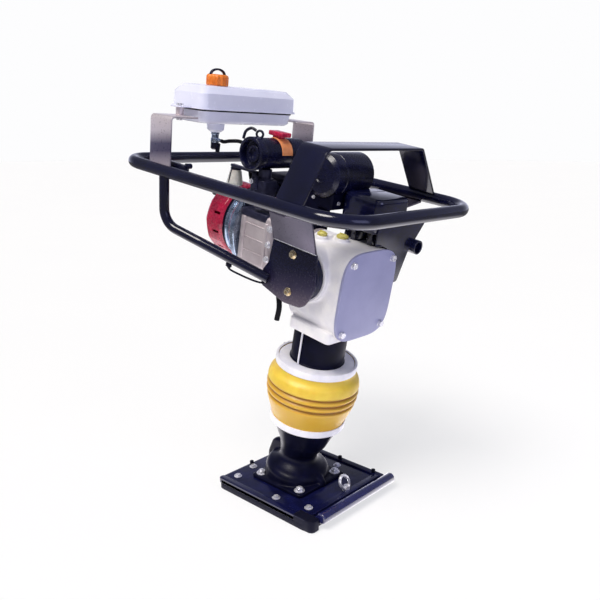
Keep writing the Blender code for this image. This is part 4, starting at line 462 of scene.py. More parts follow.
def rod(radius, low, high, edge=0.0, steps=64):
    """A turned rod along Z."""
    return spun([(0, low), (radius, low), (radius, high), (0, high)], edge, steps)


# How a shape's own X, Y and Z lie in the ram's frame
UPRIGHT = np.eye(3)
FACING_FRONT = np.array([(0, 0, 1), (1, 0, 0), (0, 1, 0)], float)
FACING_NEAR = np.array([(1, 0, 0), (0, 0, -1), (0, 1, 0)], float)
FACING_FAR = np.array([(-1, 0, 0), (0, 0, 1), (0, 1, 0)], float)


def at(shape, spot, facing=UPRIGHT):
    """A shape turned and moved to its spot."""
    points, faces = shape
    return points @ facing.T + np.asarray(spot, float), faces


def hex_head(radius, height, washer, reach):
    """A hexagon head on a washer. Over an angle the radius is a hexagon's, cut by a cone that
    leaves a round chamfer on top."""
    t = full_turn(36)
    hexagon = radius * math.cos(math.pi / 6) / np.cos(t % (math.pi / 3) - math.pi / 6)
    levels = [(0.0, 0.0), (0.0, 2.0), (0.78, 2.0), (0.9, 0.97), (1.0, 0.87), (1.0, 0.0)]
    rows = []
    for share, limit in levels:
        wide = np.minimum(hexagon, limit * radius)
        rows.append(np.column_stack([wide * np.cos(t), wide * np.sin(t), washer + share * height + 0 * t]))
    disc = [(0, 0), (reach * radius, 0), (reach * radius, washer), (0, washer)]
    return joined([skin(np.array(rows), caps=False), spun(disc, 0.0004, 36, arcs=2)])


def block(middle, size, edge=0.001, corner=None):
    """A box centred on a point, with round edges and round upright corners."""
    half = np.asarray(size) / 2
    outline = rectangle(half[0], half[1], edge if corner is None else corner, 4)
    return at(prism(outline, -half[2], half[2], edge), middle)


def toe_roll():
    """The rolled toe: a circle's outline that runs back into a flat foot, given length across the
    shoe. It stops short at the near corner, where the guard block of the pad stands."""
    x, z = TOE_CENTRE
    t = np.radians(np.linspace(-90, 152, 26))
    roll = np.column_stack([x + TOE_RADIUS * np.cos(t), z + TOE_RADIUS * np.sin(t)])
    back = [(x - TOE_RADIUS - 0.0035, PLATE_HIGH + 0.0005), (x - TOE_RADIUS - 0.008, PLATE_HIGH)]
    back += [(x - TOE_RADIUS - 0.012, PLATE_HIGH), (x - TOE_RADIUS - 0.012, PLATE_LOW)]
    return at(prism(np.vstack([roll, back]), -TOE_ENDS[1], -TOE_ENDS[0], 0.003), (0, 0, 0), FACING_NEAR)


rim_height, rim_level = RIM_TOP - PLATE_LOW, (RIM_TOP + PLATE_LOW) / 2
plate_level = (PLATE_LOW + PLATE_HIGH) / 2
plate = (2 * PLATE_HALF[0], 2 * PLATE_HALF[1], PLATE_HIGH - PLATE_LOW)
deck = [block((0, 0, plate_level), plate, 0.0008, 0.012)]
for side in (-1, 1):
    rim_middle = (-0.001, side * (PLATE_HALF[1] - RIM_WIDTH / 2), rim_level)
    deck.append(block(rim_middle, (SIDE_RIM, RIM_WIDTH, rim_height), 0.0010, 0.0060))
deck.append(block((0.1300, 0.004, rim_level), (RIM_WIDTH, FRONT_RIM, rim_height), 0.0010, 0.0030))
make("shoe_deck", deck, navy_enamel, "foot", ["shoe_plate"], False, edge=0.0012)
# The same enamel on the toe, made a lighter blue all over the roll: a painted highlight for the shine along
# its top.
toe_enamel_painted_highlight = finish("blue enamel lightened as painted highlight", "#1d1f52", "#151740", (0.18, 0.26), 0.012, coat=0.5, shine=0.7)
make("shoe_toe", [toe_roll()], toe_enamel_painted_highlight, "foot", lean=False, edge=0.0012)
bolt = hex_head(*SHOE_BOLT)
make("shoe_bolts", [at(bolt, (x, y, PLATE_HIGH)) for x, y in SHOE_BOLTS], zinc, "foot", lean=False)
stud = rod(PAD_STUD[0], 0.0, PAD_STUD[1], STUD_EDGE, 24)
studs = [at(stud, (x, y, RIM_TOP - 0.001)) for x, y in PAD_STUDS]
make("pad_studs", studs, pad_plastic, "foot", lean=False)
angles = full_turn(48)
rise = 1 + np.sin(angles)
eye_x = EYE_SPOT[0] - EYE_BACK * rise
eye_y = EYE_SPOT[1] + EYE_RADIUS * np.cos(angles) - EYE_TURN * rise
eye_path = np.column_stack([eye_x, eye_y, PLATE_HIGH + EYE_BASE + EYE_RISE * rise])
eye = [sweep(eye_path, circle(EYE_WIRE, 16), closed=True)]
eye.append(at(hex_head(*EYE_NUT), (*EYE_SPOT, PLATE_HIGH)))
make("tie_ring", eye, zinc, "foot", lean=False)


# Foot. An iron casting: a square bolting flange, a low gusset on each side and a tall one behind, a
# round drum set back a little, and a leaning cone that opens into the rim of the gaiter. The cone
# holds the socket of the spring cylinder. It is enamelled black.
LEAN = math.radians(11.1)
RAM = Matrix.Translation((-0.021, 0.0, 0.0)) @ Matrix.Rotation(LEAN, 4, "Y")
FOOT_X = -0.0140
FLANGE_LOW, FLANGE_HIGH = 0.0236, 0.0316
FLANGE_HALF, FLANGE_CORNER = 0.083, 0.010
GUSSET_THICK, GUSSET_HEIGHTS = 0.020, (0.030, 0.026, 0.080, 0.026)
GUSSET_ROOT, GUSSET_REACHES = 0.020, (0.086, 0.082, 0.101, 0.082)
FOOT_PROFILE = [(0.0840, 0.206), (0.0840, 0.189), (0.0800, 0.181), (0.0700, 0.160), (0.0570, 0.128)]
FOOT_PROFILE += [(0.0485, 0.104), (0.0455, 0.092), (0.0490, 0.080), (0.0600, 0.070), (0.0720, 0.063)]
FOOT_PROFILE += [(0.0775, 0.055)]
DRUM_RADIUS, DRUM_FOOT, DRUM_BACK, DRUM_SINK = 0.0785, 0.050, 0.005, 0.004
SET_BACK = [(0.055, -DRUM_BACK), (0.075, -0.007), (0.095, -0.009), (0.128, 0.0)]
NUT_SPREAD, FLANGE_NUT, FLANGE_STUD = 0.064, (0.0092, 0.0062, 0.0018, 1.4), (0.0048, 0.0105)
SOCKET_RADIUS, SOCKET_FLOOR, SOCKET_TOP = 0.0522, 0.1298, 0.230
CAST_SKIN = (0.0018, 12)

# Black enamel over cast iron: near black blue with soft highlights and the skin of the sand mould.
black_enamel = finish("black enamel on iron", "#0a0b24", "#060719", (0.30, 0.42), 0.008, 0.0001, shine=0.1)


def smooth_path(points, steps):
    """A curve through the points: Catmull-Rom, cubic between neighbours with shared slopes."""
    points = np.asarray(points, float)
    padded = np.vstack([points[:1], points, points[-1:]])
    t = np.arange(steps)[:, None, None] / steps
    p0, p1, p2, p3 = (padded[k : len(points) - 1 + k][None] for k in range(4))
    curve = 2 * p1 + (p2 - p0) * t + (2 * p0 - 5 * p1 + 4 * p2 - p3) * t**2
    curve = (curve + (3 * p1 - p0 - 3 * p2 + p3) * t**3) / 2
    return np.vstack([curve.transpose(1, 0, 2).reshape(-1, points.shape[1]), points[-1:]])


def leaned(shape):
    """A shape of the ram's frame in the world's."""
    points, faces = shape
    turn = np.array(RAM)
    return points @ turn[:3, :3].T + turn[:3, 3], faces


def foot_cone():
    """Cone and drum turned round the ram, their necks set back a little, and the last row cut level
    just over the flange's foot."""
    curve = smooth_path(FOOT_PROFILE, 6)
    t = full_turn(96)
    top = [(0.0, FOOT_PROFILE[0][1]), (FOOT_PROFILE[0][0] - 0.002, FOOT_PROFILE[0][1])]
    curve = np.vstack([top, curve, [(DRUM_RADIUS, DRUM_FOOT)]])
    radius, height = curve[:, :1], curve[:, 1:]
    grid = wound(radius, height, t)
    grid[..., 0] += np.interp(height, *np.array(SET_BACK).T)
    forward = DRUM_RADIUS * np.cos(t) - DRUM_BACK
    level = (FLANGE_LOW + DRUM_SINK + forward * math.sin(LEAN)) / math.cos(LEAN)
    last = np.column_stack([forward, DRUM_RADIUS * np.sin(t), level])
    return leaned(skin(np.concatenate([grid, last[None]]), caps=True))


def turned(angle):
    """The turn by an angle about Z."""
    c, s = math.cos(angle), math.sin(angle)
    return np.array([(c, -s, 0), (s, c, 0), (0, 0, 1)])


flange = rectangle(FLANGE_HALF, FLANGE_HALF, FLANGE_CORNER, 8)
foot = [foot_cone(), at(prism(flange, FLANGE_LOW, FLANGE_HIGH, 0.0025), (FOOT_X, 0, 0))]
for turns, (height, reach) in enumerate(zip(GUSSET_HEIGHTS, GUSSET_REACHES)):
    tip = [(reach, 0.0), (reach - 0.004, 0.5 * height), (reach - 0.022, height)]
    rib = rounded([(GUSSET_ROOT, 0.0), *tip, (GUSSET_ROOT, height)], [0, 0, 0.016, 0.022, 0], 8)
    thick = prism(rib, -GUSSET_THICK / 2, GUSSET_THICK / 2, 0.006)
    foot.append(at(thick, (FOOT_X, 0, FLANGE_LOW + 0.002), turned(turns * math.pi / 2) @ FACING_NEAR))
socket = leaned(rod(SOCKET_RADIUS, SOCKET_FLOOR, SOCKET_TOP))
make("ram_foot", foot, black_enamel, "foot", ["foot_casting"], False, CAST_SKIN, [socket])
nuts = []
for x in (-NUT_SPREAD, NUT_SPREAD):
    for y in (-NUT_SPREAD, NUT_SPREAD):
        nuts.append(at(hex_head(*FLANGE_NUT), (FOOT_X + x, y, FLANGE_HIGH - 0.0002)))
        stud = rod(FLANGE_STUD[0], 0.0, FLANGE_STUD[1], STUD_EDGE, 20)
        nuts.append(at(stud, (FOOT_X + x, y, FLANGE_HIGH)))
make("flange_nuts", nuts, zinc, "foot", lean=False)


# Springs and their cylinder. Two nests of coil springs in a honed steel tube with a screwed cap,
# worked by a piston on a ground rod. All of it is sealed in oil inside the gaiter.

# Oiled steel: bright, a little brown, turned or ground.
oiled_steel = finish("oiled machined steel", "#b9b6b0", "#96928c", (0.2, 0.35), 0.002, 0.0001, metallic=1.0)


def keep(names, look):
    """CAD nodes that stay, with a finish of their own."""
    for name in names:
        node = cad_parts[name]
        node.data.materials.clear()
        node.data.materials.append(look)


keep(["spring_cylinder", "cylinder_cap", "lower_spring", "upper_spring", "spring_piston"], oiled_steel)
keep(["piston_rod", "conrod", "wrist_pin", "crank_gear", "pinion_shaft", "clutch_shoes"], oiled_steel)
keep(["crank_bearing", "pinion_bearing_front", "pinion_bearing_rear", "engine_shaft"], oiled_steel)


# Gaiter. A moulded polyurethane bellows that swells in the middle and has three tight grooves
# round it there. It keeps the oil in and the dust out, and stretches with every stroke.
GAITER_TOP, GAITER_BOTTOM = 0.333, 0.207
GAITER_ENDS = (0.1895, 0.3500)
GAITER_UPPER, GAITER_LOWER, GAITER_PEAK = 0.0893, 0.0848, 0.1085
GAITER_WALL = 0.0032
SWELL = [(0, 0), (0.07, 0.20), (0.15, 0.74), (0.30, 1), (0.48, 0.98)]
SWELL += [(0.64, 0.78), (0.80, 0.46), (0.94, 0.14), (1, 0)]
GROOVES, GROOVE_DEPTH, GROOVE_WIDTH = (0.325, 0.445, 0.575), 0.0050, 0.0038
BAND_BLUR = 0.003


def rubber_gaiter():
    """Yellow polyurethane: semi gloss, warmer from the first groove down, a darker brown in all the grooves.
    """
    made = bpy.data.materials.new("yellow polyurethane")
    made.use_nodes = True
    tree = made.node_tree
    shader = tree.nodes["Principled BSDF"]
    here = add(tree, "ShaderNodeTexCoord").outputs["Object"]
    drift = add(tree, "ShaderNodeTexNoise", {"Scale": 22.0, "Detail": 4.0}, {"Vector": here})
    stops = ((0.3, linear("#ead04a")), (0.72, linear("#d9b038")))
    base = add(tree, "ShaderNodeValToRGB", links={"Fac": drift.outputs["Fac"]}, stops=stops)
    band = add(tree, "ShaderNodeAttribute", attribute_name="band").outputs["Fac"]
    groove = add(tree, "ShaderNodeAttribute", attribute_name="groove").outputs["Fac"]
    warm = {"Color2": linear("#d8ab2e")}
    warmer = add(tree, "ShaderNodeMixRGB", warm, {"Fac": band, "Color1": base.outputs["Color"]})
    groove_brown = {"Color2": linear("#96620f")}
    groove_browned = add(tree, "ShaderNodeMixRGB", groove_brown, {"Fac": groove, "Color1": warmer.outputs["Color"]})
    fine = add(tree, "ShaderNodeTexNoise", {"Scale": 240.0, "Detail": 2.0}, {"Vector": here})
    spread = {"From Min": 0.3, "From Max": 0.7, "To Min": 0.36, "To Max": 0.5}
    gloss = add(tree, "ShaderNodeMapRange", spread, {"Value": fine.outputs["Fac"]})
    relief = add(tree, "ShaderNodeBump", {"Distance": 0.0003}, {"Height": fine.outputs["Fac"]})
    tree.links.new(groove_browned.outputs["Color"], shader.inputs["Base Color"])
    tree.links.new(gloss.outputs["Result"], shader.inputs["Roughness"])
    tree.links.new(relief.outputs["Normal"], shader.inputs["Normal"])
    shader.inputs["Subsurface Weight"].default_value = 0.15
    shader.inputs["Subsurface Scale"].default_value = 0.004
    return made


def gaiter_wall():
    """The wall's profile: the ends' radius plus a swelling, less a bell curve at each groove."""
    swell = smooth_path(SWELL, 16)
    down = np.linspace(0, 1, 150)
    share = np.interp(down, swell[:, 0], swell[:, 1])
    height = GAITER_TOP + (GAITER_BOTTOM - GAITER_TOP) * down
    rest = GAITER_UPPER + (GAITER_LOWER - GAITER_UPPER) * down
    radius = rest + (GAITER_PEAK - GAITER_WALL - rest) * share
    groove = GROOVE_DEPTH * groove_share(height)
    outer = np.column_stack([radius + GAITER_WALL - groove, height])
    inner = np.column_stack([radius - 0.7 * groove, height])[::2]
    top = [(GAITER_UPPER + GAITER_WALL, GAITER_ENDS[1]), (GAITER_UPPER, GAITER_ENDS[1])]
    low = [(GAITER_LOWER + GAITER_WALL, GAITER_ENDS[0]), (GAITER_LOWER, GAITER_ENDS[0])]
    return np.vstack([top[:1], outer, low, inner[::-1], top[1:]])


def groove_share(height):
    """How deep a height lies in a groove, from 0 to 1."""
    middles = GAITER_TOP + (GAITER_BOTTOM - GAITER_TOP) * np.array(GROOVES)
    return np.exp(-(((height[:, None] - middles) / GROOVE_WIDTH) ** 2)).sum(axis=1).clip(0, 1)


def spot_on_ram(height, forward=0.0, sideways=0.0):
    """The world's place of a point of the ram's frame."""
    return tuple(RAM @ Vector((forward, sideways, height)))


gaiter_ends = ("foot", "upper_unit", spot_on_ram(GAITER_BOTTOM), spot_on_ram(GAITER_TOP))
wall = [lathe(gaiter_wall(), 128, ring=True)]
gaiter = make("gaiter", wall, rubber_gaiter(), None, ["bellows"], blend=gaiter_ends)
co = np.zeros(len(gaiter.data.vertices) * 3)
gaiter.data.vertices.foreach_get("co", co)
up = (co.reshape(-1, 3) - np.array(RAM)[:3, 3]) @ np.array(RAM)[:3, 2]
top_groove = GAITER_TOP + (GAITER_BOTTOM - GAITER_TOP) * GROOVES[0]
below = 1 / (1 + np.exp((up - top_groove) / BAND_BLUR))
for name, values in (("groove", groove_share(up)), ("band", below)):
    gaiter.data.attributes.new(name, "FLOAT", "POINT").data.foreach_set("value", values.astype(np.float32))


# Gaiter clamps. Wide pressed bands, painted white, drawn tight by a screw at the back.
CLAMP_HALF = 0.008
CLAMP_THICK = 0.0018
LIP_THICK, LIP_REACH = 0.0012, 0.0042
LUG, LUG_GAP = (0.008, 0.0045, 0.012), 0.0075
CLAMP_SCREW = (0.0028, 0.011)
CLAMPS = {
    "gaiter_clamp_lower": (0.0888, 0.197, "foot", "bellows_clamp_lower"),
    "gaiter_clamp_upper": (0.0933, 0.344, "upper_unit", "bellows_clamp_upper"),
}

# White paint on pressed steel: satin, faintly blue in its shadows.
white_band = finish("white satin paint on steel", "#f1f0f4", "#e0e0ea", (0.32, 0.45), 0.004, 0.0002)

for name, (inner, height, body, node) in CLAMPS.items():
    outer = inner + CLAMP_THICK
    band = [(outer, CLAMP_HALF), (outer, -CLAMP_HALF), (inner, -CLAMP_HALF), (inner, CLAMP_HALF - LIP_THICK)]
    band += [(inner - LIP_REACH, CLAMP_HALF - LIP_THICK), (inner - LIP_REACH, CLAMP_HALF)]
    parts = [at(spun(band, 0.0007, 128, True), (0, 0, height))]
    for across in (-1, 1):
        parts.append(block((-outer - 0.0025, across * LUG_GAP, height), LUG, 0.0012))
    screw = rod(CLAMP_SCREW[0], -CLAMP_SCREW[1], CLAMP_SCREW[1], 0.0006, 20)
    parts.append(at(screw, (-outer - 0.0035, 0, height), FACING_FAR))
    make(name, parts, white_band, body, [node])


# Guide cylinder. A steel tube under the crankcase that the foot slides in, enamelled black, with a
# white flange for the gaiter and a thin white vent tube that runs up to the case.
GUIDE_RADIUS, GUIDE_BORE = 0.062, 0.0535
GUIDE_FOOT, FLANGE_LEVEL, CASE_FOOT = 0.270, 0.350, 0.444
VENT_Y, VENT_TOP, VENT_RADIUS = -0.0655, 0.437, 0.0022

r, g = GUIDE_RADIUS, FLANGE_LEVEL
tube = [(GUIDE_BORE, GUIDE_FOOT), (r, GUIDE_FOOT), (r, g), (r + 0.0025, g + 0.0005), (r + 0.0025, g + 0.0030)]
tube += [(r, g + 0.0045), (r, CASE_FOOT), (GUIDE_BORE, CASE_FOOT)]
tube = [spun(tube, 0.001, 96, True)]
make("guide_tube", tube, black_enamel, "upper_unit", ["guide_cylinder"])
plate = [(r - 0.001, g - 0.0065), (0.0825, g - 0.0065), (0.0825, g - 0.0168), (0.0885, g - 0.0168)]
plate += [(0.0885, g), (r - 0.001, g)]
plate = [spun(plate, 0.001, 96, True)]
make("guide_flange", plate, white_band, "upper_unit")
vent = sweep([(0.0, VENT_Y, g + 0.001), (0.0, VENT_Y, VENT_TOP)], circle(VENT_RADIUS, 20))
make("guide_vent", [vent], white_band, "upper_unit")


# Crankcase. A sand-cast aluminium box, painted white, with a round boss on each side for the
# rubber mounts, a square base over the guide cylinder and a flange that the cover is bolted to.
CASE_HALF = (0.089, 0.0975)
CASE_MIDDLE = 0.5418
CASE_REAR, CASE_SKIN = -0.046, (0.0021, 4)
CASE_LEVELS = [(-0.046, -0.0125), (-0.0425, -0.0075), (-0.036, -0.0040), (0.0905, -0.0022)]
MOUNT_SPOT = (0.005, 0.572)
BOSS_RADIUS, BOSS_FACE = 0.061, 0.098
ENGINE_AXIS, GEAR_AXIS = 0.600, 0.524
PLUGS = {"oil_filler_plug": (0.014, 0.0, 0.0130), "breather_plug": (-0.018, -0.030, 0.0110)}
PLUG_SEAT = 0.6433
CASE_BASE = ((0.0320, 0.0, 0.4510), (0.118, 0.176, 0.026))
CASE_RIM = (0.0895, 0.0903, 0.0972, 0.0980)

# White paint over cast aluminium: satin, a trace of cream in the light and of lilac in the dips.
white_casting = finish("white paint on cast aluminium", "#f3f1f1", "#e6e4ea", (0.34, 0.5), 0.003, 0.0005)


def squarish(half_x, half_y, count=112, power=4.0):
    """A superellipse: x and y are the circle's, each raised to 2 / power."""
    t = full_turn(count)
    c, s = np.cos(t), np.sin(t)
    x = half_x * np.sign(c) * np.abs(c) ** (2 / power)
    return np.column_stack([x, half_y * np.sign(s) * np.abs(s) ** (2 / power)])


def stacked(levels, ring=False):
    """Outlines of one count at their heights, as a closed shape."""
    grid = np.array([np.column_stack([outline, np.full(len(outline), z)]) for z, outline in levels])
    return skin(grid, ring=ring, caps=not ring)


case_spot = (0, 0, CASE_MIDDLE)
levels = [(u, squarish(CASE_HALF[0] + grow, CASE_HALF[1] + grow)) for u, grow in CASE_LEVELS]
case = [at(stacked(levels), case_spot, FACING_FRONT)]
for facing, across in ((FACING_NEAR, -1), (FACING_FAR, 1)):
    spot = (MOUNT_SPOT[0], across * BOSS_FACE, MOUNT_SPOT[1])
    case.append(at(rod(BOSS_RADIUS, -0.045, 0.0), spot, facing))
case.append(at(rod(0.046, 0.0, 0.040), (CASE_REAR, 0, ENGINE_AXIS), FACING_FRONT))
case.append(rod(GUIDE_RADIUS + 0.005, CASE_FOOT - 0.002, GEAR_AXIS))
case.append(block(*CASE_BASE, 0.001, 0.010))
for x, y, radius in PLUGS.values():
    case.append(at(rod(radius + 0.003, -0.024, 0.0), (x, y, PLUG_SEAT)))
inside = squarish(0.079, 0.084)
hollows = [at(stacked([(0.010, inside), (0.110, inside)]), case_spot, FACING_FRONT)]
hollows.append(at(rod(0.050, -0.022, 0.012), (0, 0, GEAR_AXIS), FACING_FRONT))
hollows.append(rod(0.034, CASE_FOOT - 0.02, GEAR_AXIS))
hollows.append(at(rod(0.0172, -0.057, -0.025), (0, 0, ENGINE_AXIS), FACING_FRONT))
hollows.append(at(rod(0.0115, -0.031, 0.019), (0, 0, ENGINE_AXIS), FACING_FRONT))
make(
    "crankcase_casting", case, white_casting, "upper_unit", ["crankcase"],
    fuse=CASE_SKIN, cuts=hollows,
)
rim_outside = squarish(*CASE_HALF)
rim = [inset(rim_outside, 0.0008), rim_outside, rim_outside, inset(rim_outside, 0.0008)]
rim = list(zip(CASE_RIM, rim))
rim += [(CASE_RIM[-1], inside), (CASE_RIM[0], inside)]
case_flange = [at(stacked(rim, True), case_spot, FACING_FRONT)]
make("crankcase_flange", case_flange, white_casting, "upper_unit")


# Crankcase cover. A flat aluminium plate, coloured lilac grey: painted shade, the case's white as it
# looks on this face turned from the light. It is held by a hexagon bolt near each corner. Its
# spindle and bearing seat reach inwards to the gears.
COVER_LOW, COVER_HIGH = 0.0983, 0.1053
COVER_BOLT = (0.0074, 0.0072, 0.0003, 1.02)
COVER_BOLTS = [(y, CASE_MIDDLE + z) for y in (-0.067, 0.067) for z in (-0.0765, 0.0765)]

# Lilac grey on a milled plate, as painted shade of the case's white: even, satin, with the faintest cloud.
cover_paint_painted_shade = finish(
    "lilac grey as painted shade on plate", "#9899bd", "#9092b6", (0.38, 0.5), 0.004, 0.0002, patch=0.06
)

outline = squarish(CASE_HALF[0] + 0.001, CASE_HALF[1] + 0.001)
cover = [at(prism(outline, COVER_LOW, COVER_HIGH, 0.0012), case_spot, FACING_FRONT)]
cover.append(at(rod(0.021, 0.0565, COVER_LOW + 0.002), (0, 0, GEAR_AXIS), FACING_FRONT))
cover.append(at(rod(0.0117, 0.0268, 0.0600), (0, 0, GEAR_AXIS), FACING_FRONT))
seat = [(0.0140, 0.0590), (0.0195, 0.0590), (0.0195, COVER_LOW + 0.002), (0.0140, COVER_LOW + 0.002)]
cover.append(at(lathe(seat, 48, ring=True), (0, 0, ENGINE_AXIS), FACING_FRONT))
make("case_cover", cover, cover_paint_painted_shade, "upper_unit", ["crankcase_cover"])
head = hex_head(*COVER_BOLT)
bolts = [at(head, (COVER_HIGH, y, z), FACING_FRONT) for y, z in COVER_BOLTS]
make("cover_bolts", bolts, zinc, "upper_unit", edge=0.0004)


# Oil filler and breather plugs. Moulded in translucent yellow nylon, screwed into bosses on top
# of the case, each with a wing to turn it by.

# Nylon: yellow with a green cast, a little light passes through it.
yellow_nylon = finish("yellow nylon", "#d6cd72", "#b5a74a", (0.3, 0.42), 0.002, 0.0001, patch=0.008)

for name, (x, y, radius) in PLUGS.items():
    base = PLUG_SEAT + 0.0003
    cap = [(0, 0), (radius, 0), (radius, 0.0052), (radius * 0.80, 0.0064)]
    cap += [(radius * 0.72, 0.0078), (0, 0.0078)]
    wing = block((0, 0, 0.0075), (radius * 1.3, 0.0034, 0.0050), 0.0012)
    parts = [at(spun(cap, 0.0009, 48), (x, y, base)), at(wing, (x, y, base))]
    make(name + "_moulding", parts, yellow_nylon, "upper_unit", [name])


# Rubber mounts. A thick rubber disc bonded between two steel plates on each side of the case, on
# which the whole handle rocks. Two passivated bolts go through the handle's bracket into each.
RUBBER_RADIUS, RUBBER_WAIST = 0.055, 0.0022
RUBBER_FACES = (0.0983, 0.1167)
BRACKET_FACE = 0.1220
MOUNT_BOLT = (0.0070, 0.0052, 0.0016, 1.36)
MOUNT_BOLTS = [(-0.010, 0.613), (-0.010, 0.531)]

# Natural rubber, black with a blue bloom, satin where it was moulded.
bonded_rubber = finish("black bonded rubber", "#15173c", "#0b0c22", (0.34, 0.5), 0.003, 0.0002, shine=0.3)
# Yellow passivated zinc: brassy, cloudy, with brown in its hollows.
yellow_zinc = finish(
    "yellow passivated zinc", "#e6dcc0", "#b59b6c", (0.2, 0.36), 0.002, 0.0001, metallic=1.0, patch=0.006
)

for name, facing, across in (("near", FACING_NEAR, -1), ("far", FACING_FAR, 1)):
    low, high = RUBBER_FACES
    waist = RUBBER_RADIUS - RUBBER_WAIST
    disc = [(0, low), (RUBBER_RADIUS, low), (RUBBER_RADIUS, low + 0.003), (waist, low + 0.006)]
    disc += [(waist, high - 0.006), (RUBBER_RADIUS, high - 0.003), (RUBBER_RADIUS, high), (0, high)]
    puck = [at(spun(disc, 0.0012, 96), (MOUNT_SPOT[0], 0, MOUNT_SPOT[1]), facing)]
    mount = "rubber_mount_" + name
    make(mount + "_disc", puck, bonded_rubber, "upper_unit", [mount])
    heads = [(x, across * BRACKET_FACE, z) for x, z in MOUNT_BOLTS]
    bolts = [at(hex_head(*MOUNT_BOLT), head, facing) for head in heads]
    make("mount_bolts_" + name, bolts, yellow_zinc, "handle", edge=0.0004)


# Clutch housing and engine. An aluminium bell joins the case to a small four-stroke engine, whose
# die-cast crankcase carries a bright side plate, a red starter cover with a dark ring before it and
# a finned cylinder. A dark sheet on the block's top is painted shadow. Slots let air into the cover,
# at its rear and round its wall.
BLOCK_MIDDLE, BLOCK_SIZE = (-0.180, 0.0, 0.590), (0.110, 0.150, 0.126)
CLUTCH_RADIUS = 0.0425
BAND_LEVELS, RIB_PLACES = (-0.030, 0.002, 0.034), (-0.215, -0.143)
ENGINE_BOLT, PLATE_BOLT = (0.0062, 0.0045, 0.0012, 1.3), (0.0055, 0.004, 0.001, 1.3)
BOLT_X, BOLT_Y, BOLT_LEVELS = -0.131, 0.0748, (0.558, 0.592, 0.628)
SIDE_PLATE, PLATE_WEB, PLATE_BORE = (-0.2725, -0.2358), -0.2446, 0.0775
SHAFT_HOLE, EAR_CIRCLE = 0.0128, 0.085
RECOIL_RADIUS = 0.0900
RECOIL_ENDS = (-0.345, -0.2800)
REAR_SLOTS = (6, RECOIL_ENDS[0], 0.052, (0.0035, 0.013, 0.0034), (-0.010, 0.012))
WALL_SLOTS = (12, RECOIL_ENDS[1] - 0.020, 0.086, (0.006, 0.0030, 0.0028), (-0.011, 0.011))
FAN_RING = [(0.0800, -0.2815), (0.0835, -0.2815), (0.0835, -0.2728), (0.0800, -0.2728)]
ROPE_HEIGHT, ROPE_HOLE = 0.655, 0.0045
HEAD_SPOT, HEAD_SIZE = (-0.180, 0.015), (0.082, 0.084, 0.024)
BARREL_RADIUS, WAIST_RADIUS, FIN_STEP = 0.040, 0.032, 0.011
TOP_SHADOW_SPOT, TOP_SHADOW_SIZE = (-0.187, 0.0, 0.6465), (0.090, 0.154, 0.018)

# Die-cast aluminium, tumbled: pale warm grey, matt, with a fine grain.
die_cast = finish(
    "tumbled die-cast aluminium", "#c9c0c2", "#ab9fa3", (0.42, 0.58), 0.0015, 0.0003,
    metallic=0.55, patch=0.05,
)
# Polished casting: blue grey with sharp highlights.
bright_cast = finish(
    "polished aluminium casting", "#aebccd", "#74839a", (0.14, 0.3), 0.004, 0.0002,
    metallic=0.9, patch=0.02,
)
# Dark alloy: zinc casting dulled by fuel, nearly black between its ribs.
dark_alloy = finish(
    "fuel-dulled zinc casting", "#262740", "#10112a", (0.32, 0.5), 0.002, 0.0004,
    metallic=0.3, patch=0.012,
)
# Crimson paint on pressed steel: glossy and deep.
crimson = finish(
    "crimson paint on pressed steel", "#cf1a47", "#a3103a", (0.2, 0.34), 0.006, 0.0001,
    coat=0.3, patch=0.02,
)

bell = [(0.046, -0.0463), (0.046, -0.0545), (CLUTCH_RADIUS, -0.0570), (CLUTCH_RADIUS, -0.1030)]
bell += [(0.060, -0.1160), (0.066, -0.1168), (0.066, -0.1247), (0.0385, -0.1247), (0.0385, -0.0463)]
bell = at(spun(bell, 0.0015, 80, True), (0, 0, ENGINE_AXIS), FACING_FRONT)
make("clutch_bell", [bell], die_cast, "upper_unit", ["clutch_housing"])
middle = np.array(BLOCK_MIDDLE)
size = np.array(BLOCK_SIZE)
shell = [block(middle, size, 0.010, 0.014)]
for z in BAND_LEVELS:
    shell.append(block(middle + (0, 0, z), size + (-0.024, 0.004, 0.003 - size[2]), 0.0014, 0.006))
for x in RIB_PLACES:
    shell.append(block(middle + (x - middle[0], 0, -0.002), (0.010, size[1] + 0.006, 0.100), 0.003))
make("engine_casting", shell, die_cast, "upper_unit", ["engine_crankcase"])
studs = []
for z in BOLT_LEVELS:
    for facing, across in ((FACING_NEAR, -1), (FACING_FAR, 1)):
        studs.append(at(hex_head(*ENGINE_BOLT), (BOLT_X, across * BOLT_Y, z), facing))
make("engine_bolts", studs, zinc, "upper_unit", edge=0.0004)


def eared(reach, ear, lobes=4, count=192):
    """A round outline with ears: a high power of a cosine swells it between the axes."""
    t = full_turn(count)
    radius = reach + ear * np.maximum(0, np.cos(lobes / 2 * (t - math.pi / 4))) ** 6
    return np.column_stack([radius * np.cos(t), radius * np.sin(t)])


def about_engine(forward, radius, angle):
    """A spot at a radius and an angle round the engine's axis."""
    return (forward, radius * math.cos(angle), ENGINE_AXIS + radius * math.sin(angle))


